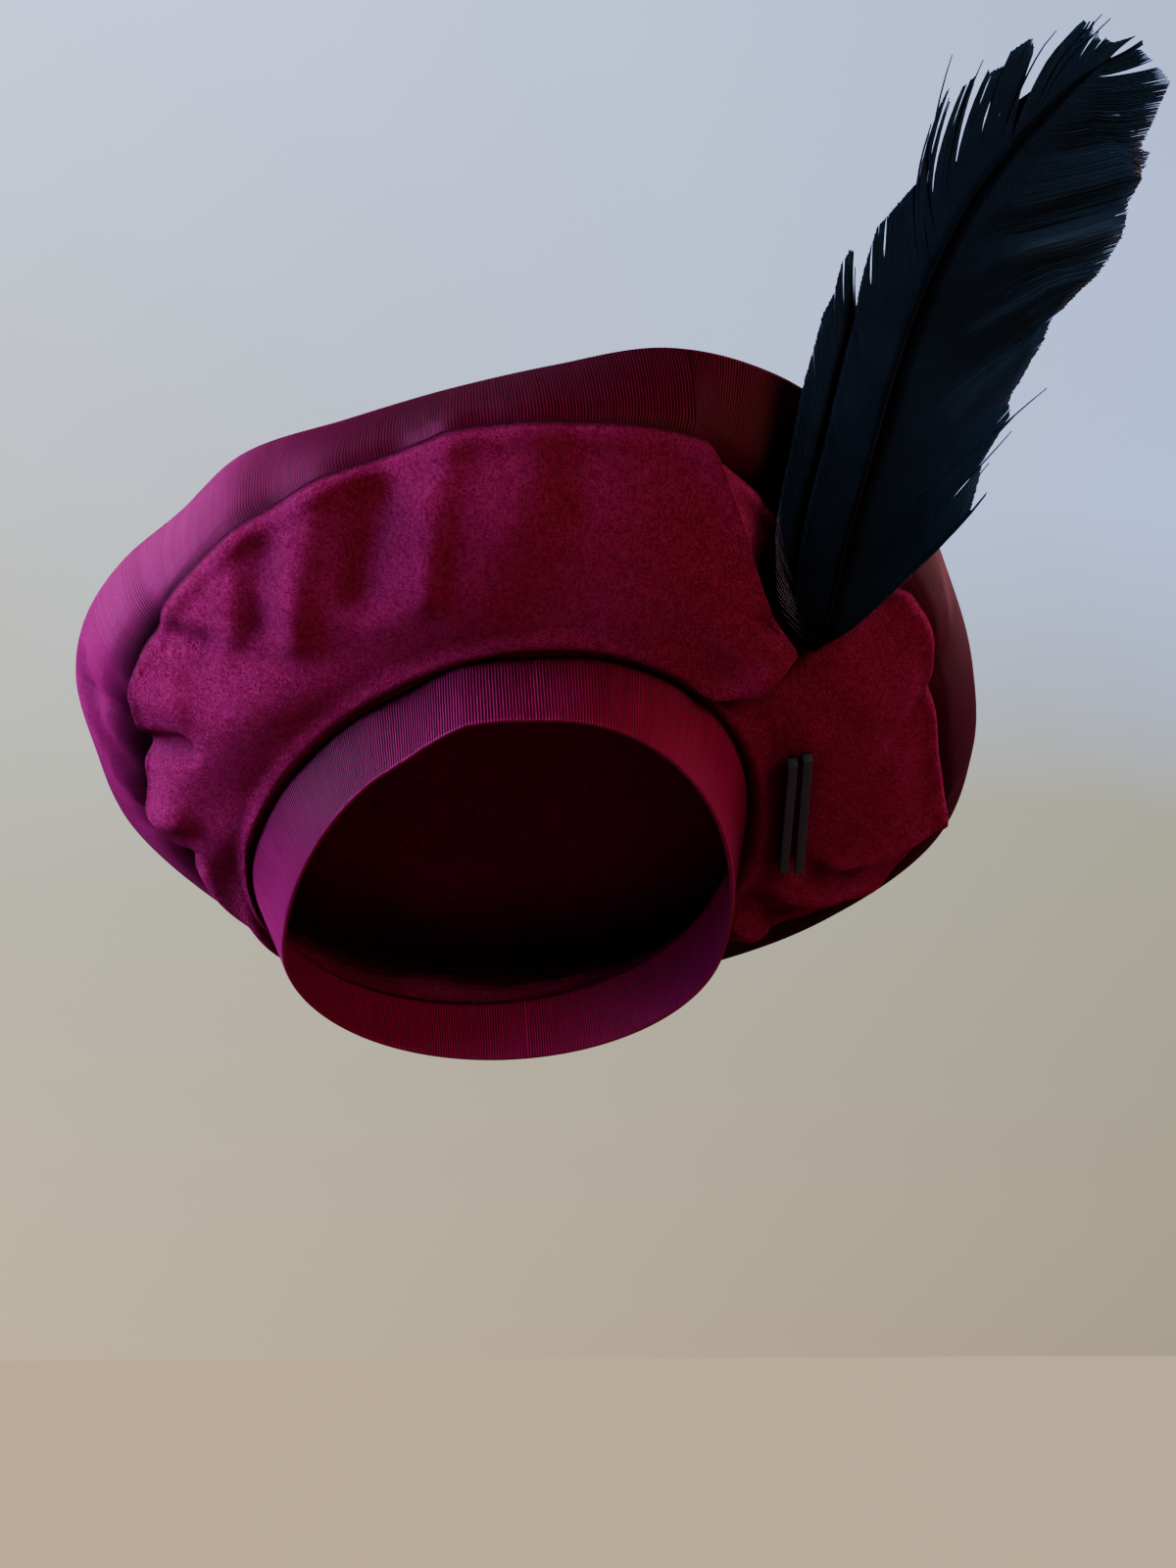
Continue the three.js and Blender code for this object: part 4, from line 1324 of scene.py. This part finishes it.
def barb_look():
    """Barbs: blue-black, with paler blue streaks, partly painted sheen and partly underside turned out."""
    look = Look(
        "barbs",
        Roughness=0.5,
        Sheen_Weight=0.06,
        Sheen_Roughness=0.3,
        Sheen_Tint=(0.2, 0.5, 1, 1),
        Specular_IOR_Level=0.2,
        Specular_Tint=(0.35, 0.6, 1, 1),
    )
    tones = BARB_COLOURS
    base = look.ramp(look.noise(60, 2, 0.5), [(0.35, tones["dark"]), (0.7, tones["light"])])
    pale = look.ramp(look.part(look.uv(), 0), [(0.05, BLACK), (1, WHITE)])
    look.set("Base Color", look.blend("MIX", pale, base, tones["pale"]))
    look.set("Normal", look.bump(look.noise(5000, 2, 0.6), 0.2, 0.0001))
    return look.material


def shaft_look():
    """Shaft: black horn with a fine uneven grain."""
    look = Look("shaft", Roughness=0.6, Specular_IOR_Level=0.12)
    grain = look.noise(500, 3, 0.6)
    look.set("Base Color", look.between(grain, SHAFT_COLOURS))
    look.set("Normal", look.bump(grain, 0.2, 0.0002))
    return look.material


def bar_look():
    """Bars: matte dark grey with a faint uneven grain."""
    look = Look("bars", Specular_IOR_Level=0.4)
    cloud = look.noise(180, 4, 0.6)
    grain = look.noise(3000, 2, 0.6)
    look.set("Base Color", look.between(cloud, BAR_COLOURS))
    look.set("Roughness", look.ramp(grain, [(0.3, grey(0.5)), (0.7, grey(0.64))]))
    look.set("Normal", look.bump(grain, 0.15, 0.0001))
    return look.material


def painted_light_look(name, paint):
    """Painted light: a black surface that glows like the lit room, warm and dimmer low down, cool higher up.
    """
    look = Look(
        name,
        Roughness=1,
        Base_Color=(0, 0, 0, 1),
        Specular_IOR_Level=0,
        Emission_Strength=1,
    )
    cloud = look.math("SUBTRACT", look.noise(paint["cloud"], 3, 0.5), 0.5)
    height = look.math("DIVIDE", look.math("ADD", look.part(look.coords, 2), paint["down"]), paint["tall"])
    height = look.math("ADD", height, look.math("MULTIPLY", cloud, CLOUD_STRENGTH))
    sideways = look.math("DIVIDE", look.math("ADD", look.part(look.coords, 0), paint["left"]), paint["wide"])
    left = look.ramp(height, paint["left_ramp"])
    right = look.ramp(height, paint["right_ramp"])
    # The glow is painted light standing in for the lit room: cool above, warm and dimmer below.
    look.set("Emission Color", look.blend("MIX", sideways, left, right))
    return look.material


def add_backdrop(name, corners, faces, paint):
    """A stage piece that the camera sees, and that neither lights nor shades the hat."""
    mesh = bpy.data.meshes.new(name)
    mesh.from_pydata(corners, [], faces)
    mesh.materials.append(paint)
    piece = add_object(name, mesh)
    piece.visible_diffuse = False
    piece.visible_glossy = False
    piece.visible_shadow = False


def add_table():
    half, top = TABLE["half"], TABLE["top"]
    corners = [(-half, TABLE["near"], top), (half, TABLE["near"], top)]
    corners += [(half, TABLE["far_right"], top), (-half, TABLE["far_left"], top)]
    add_backdrop("table", corners, [(0, 1, 2, 3)], painted_light_look("table", TABLE_PAINTED_LIGHT))


def add_room():
    half = ROOM["half"]
    corners = []
    for height in (ROOM["floor"], ROOM["ceiling"]):
        corners += [(-half, ROOM["near"], height), (half, ROOM["near"], height)]
        corners += [(half, ROOM["far"], height), (-half, ROOM["far"], height)]
    faces = [(0, 1, 2, 3), (7, 6, 5, 4)]
    faces += [(i, i + 4, (i + 1) % 4 + 4, (i + 1) % 4) for i in range(4)]
    add_backdrop("room", corners, faces, painted_light_look("room", ROOM_PAINTED_LIGHT))


def add_lamp(name, place, aim, side, power, spread, colour):
    lamp = bpy.data.lights.new(name, "AREA")
    lamp.shape = "SQUARE"
    lamp.size = side
    lamp.energy = power
    lamp.spread = math.radians(spread)
    lamp.color = colour
    holder = add_object(name, lamp)
    holder.location = place
    x, y, z = np.array(aim) - np.array(place)
    holder.rotation_euler = (math.atan2(math.hypot(x, y), -z), 0, math.atan2(-x, y))
    return holder


def add_world():
    world = bpy.data.worlds.new("room")
    world.use_nodes = True
    background = world.node_tree.nodes["Background"]
    background.inputs["Color"].default_value = WORLD["colour"]
    background.inputs["Strength"].default_value = WORLD["strength"]
    bpy.context.scene.world = world


def add_feather_light(plumes):
    """Cool light that falls on the feathers alone."""
    lamp = add_lamp(*SKY_LAMP)
    lit = bpy.data.collections.new("plumes")
    for piece in plumes:
        lit.objects.link(piece)
    lamp.light_linking.receiver_collection = lit


def add_camera():
    lens = bpy.data.cameras.new("camera")
    lens.lens = CAMERA["lens"]
    lens.sensor_width = CAMERA["sensor"]
    lens.dof.use_dof = False
    camera = add_object("camera", lens)
    camera.location = CAMERA["place"]
    camera.rotation_euler = (math.radians(90), 0, 0)
    bpy.context.scene.camera = camera


add_camera()
add_table()
add_room()
for lamp in LAMPS:
    add_lamp(*lamp)
add_world()

felt = felt_look()
rim_cloth = ribbon_look("rim ribbon", RIM_PAINTED_CREST_LIGHT)
band_cloth = ribbon_look("band ribbon", BAND_PAINTED_CREST_LIGHT)
barbs = barb_look()
shafts = shaft_look()
bars = bar_look()
make_underside(felt)
make_crown_top(felt)
make_ribbon("rim_grosgrain", "rim_ribbon", sunk_ribbon_place, RIM_SHEET, rim_cloth)
make_ribbon("band_grosgrain", "head_band", cornered_band_place, BAND_SHEET, band_cloth)
plumes = make_feather("front", "feather_front", FRONT_FEATHER, barbs, shafts)
plumes += make_feather("back", "feather_back", BACK_FEATHER, barbs, shafts)
make_bar("left_bar", "bar_left", LEFT_BAR, bars)
make_bar("right_bar", "bar_right", RIGHT_BAR, bars)
add_feather_light(plumes)
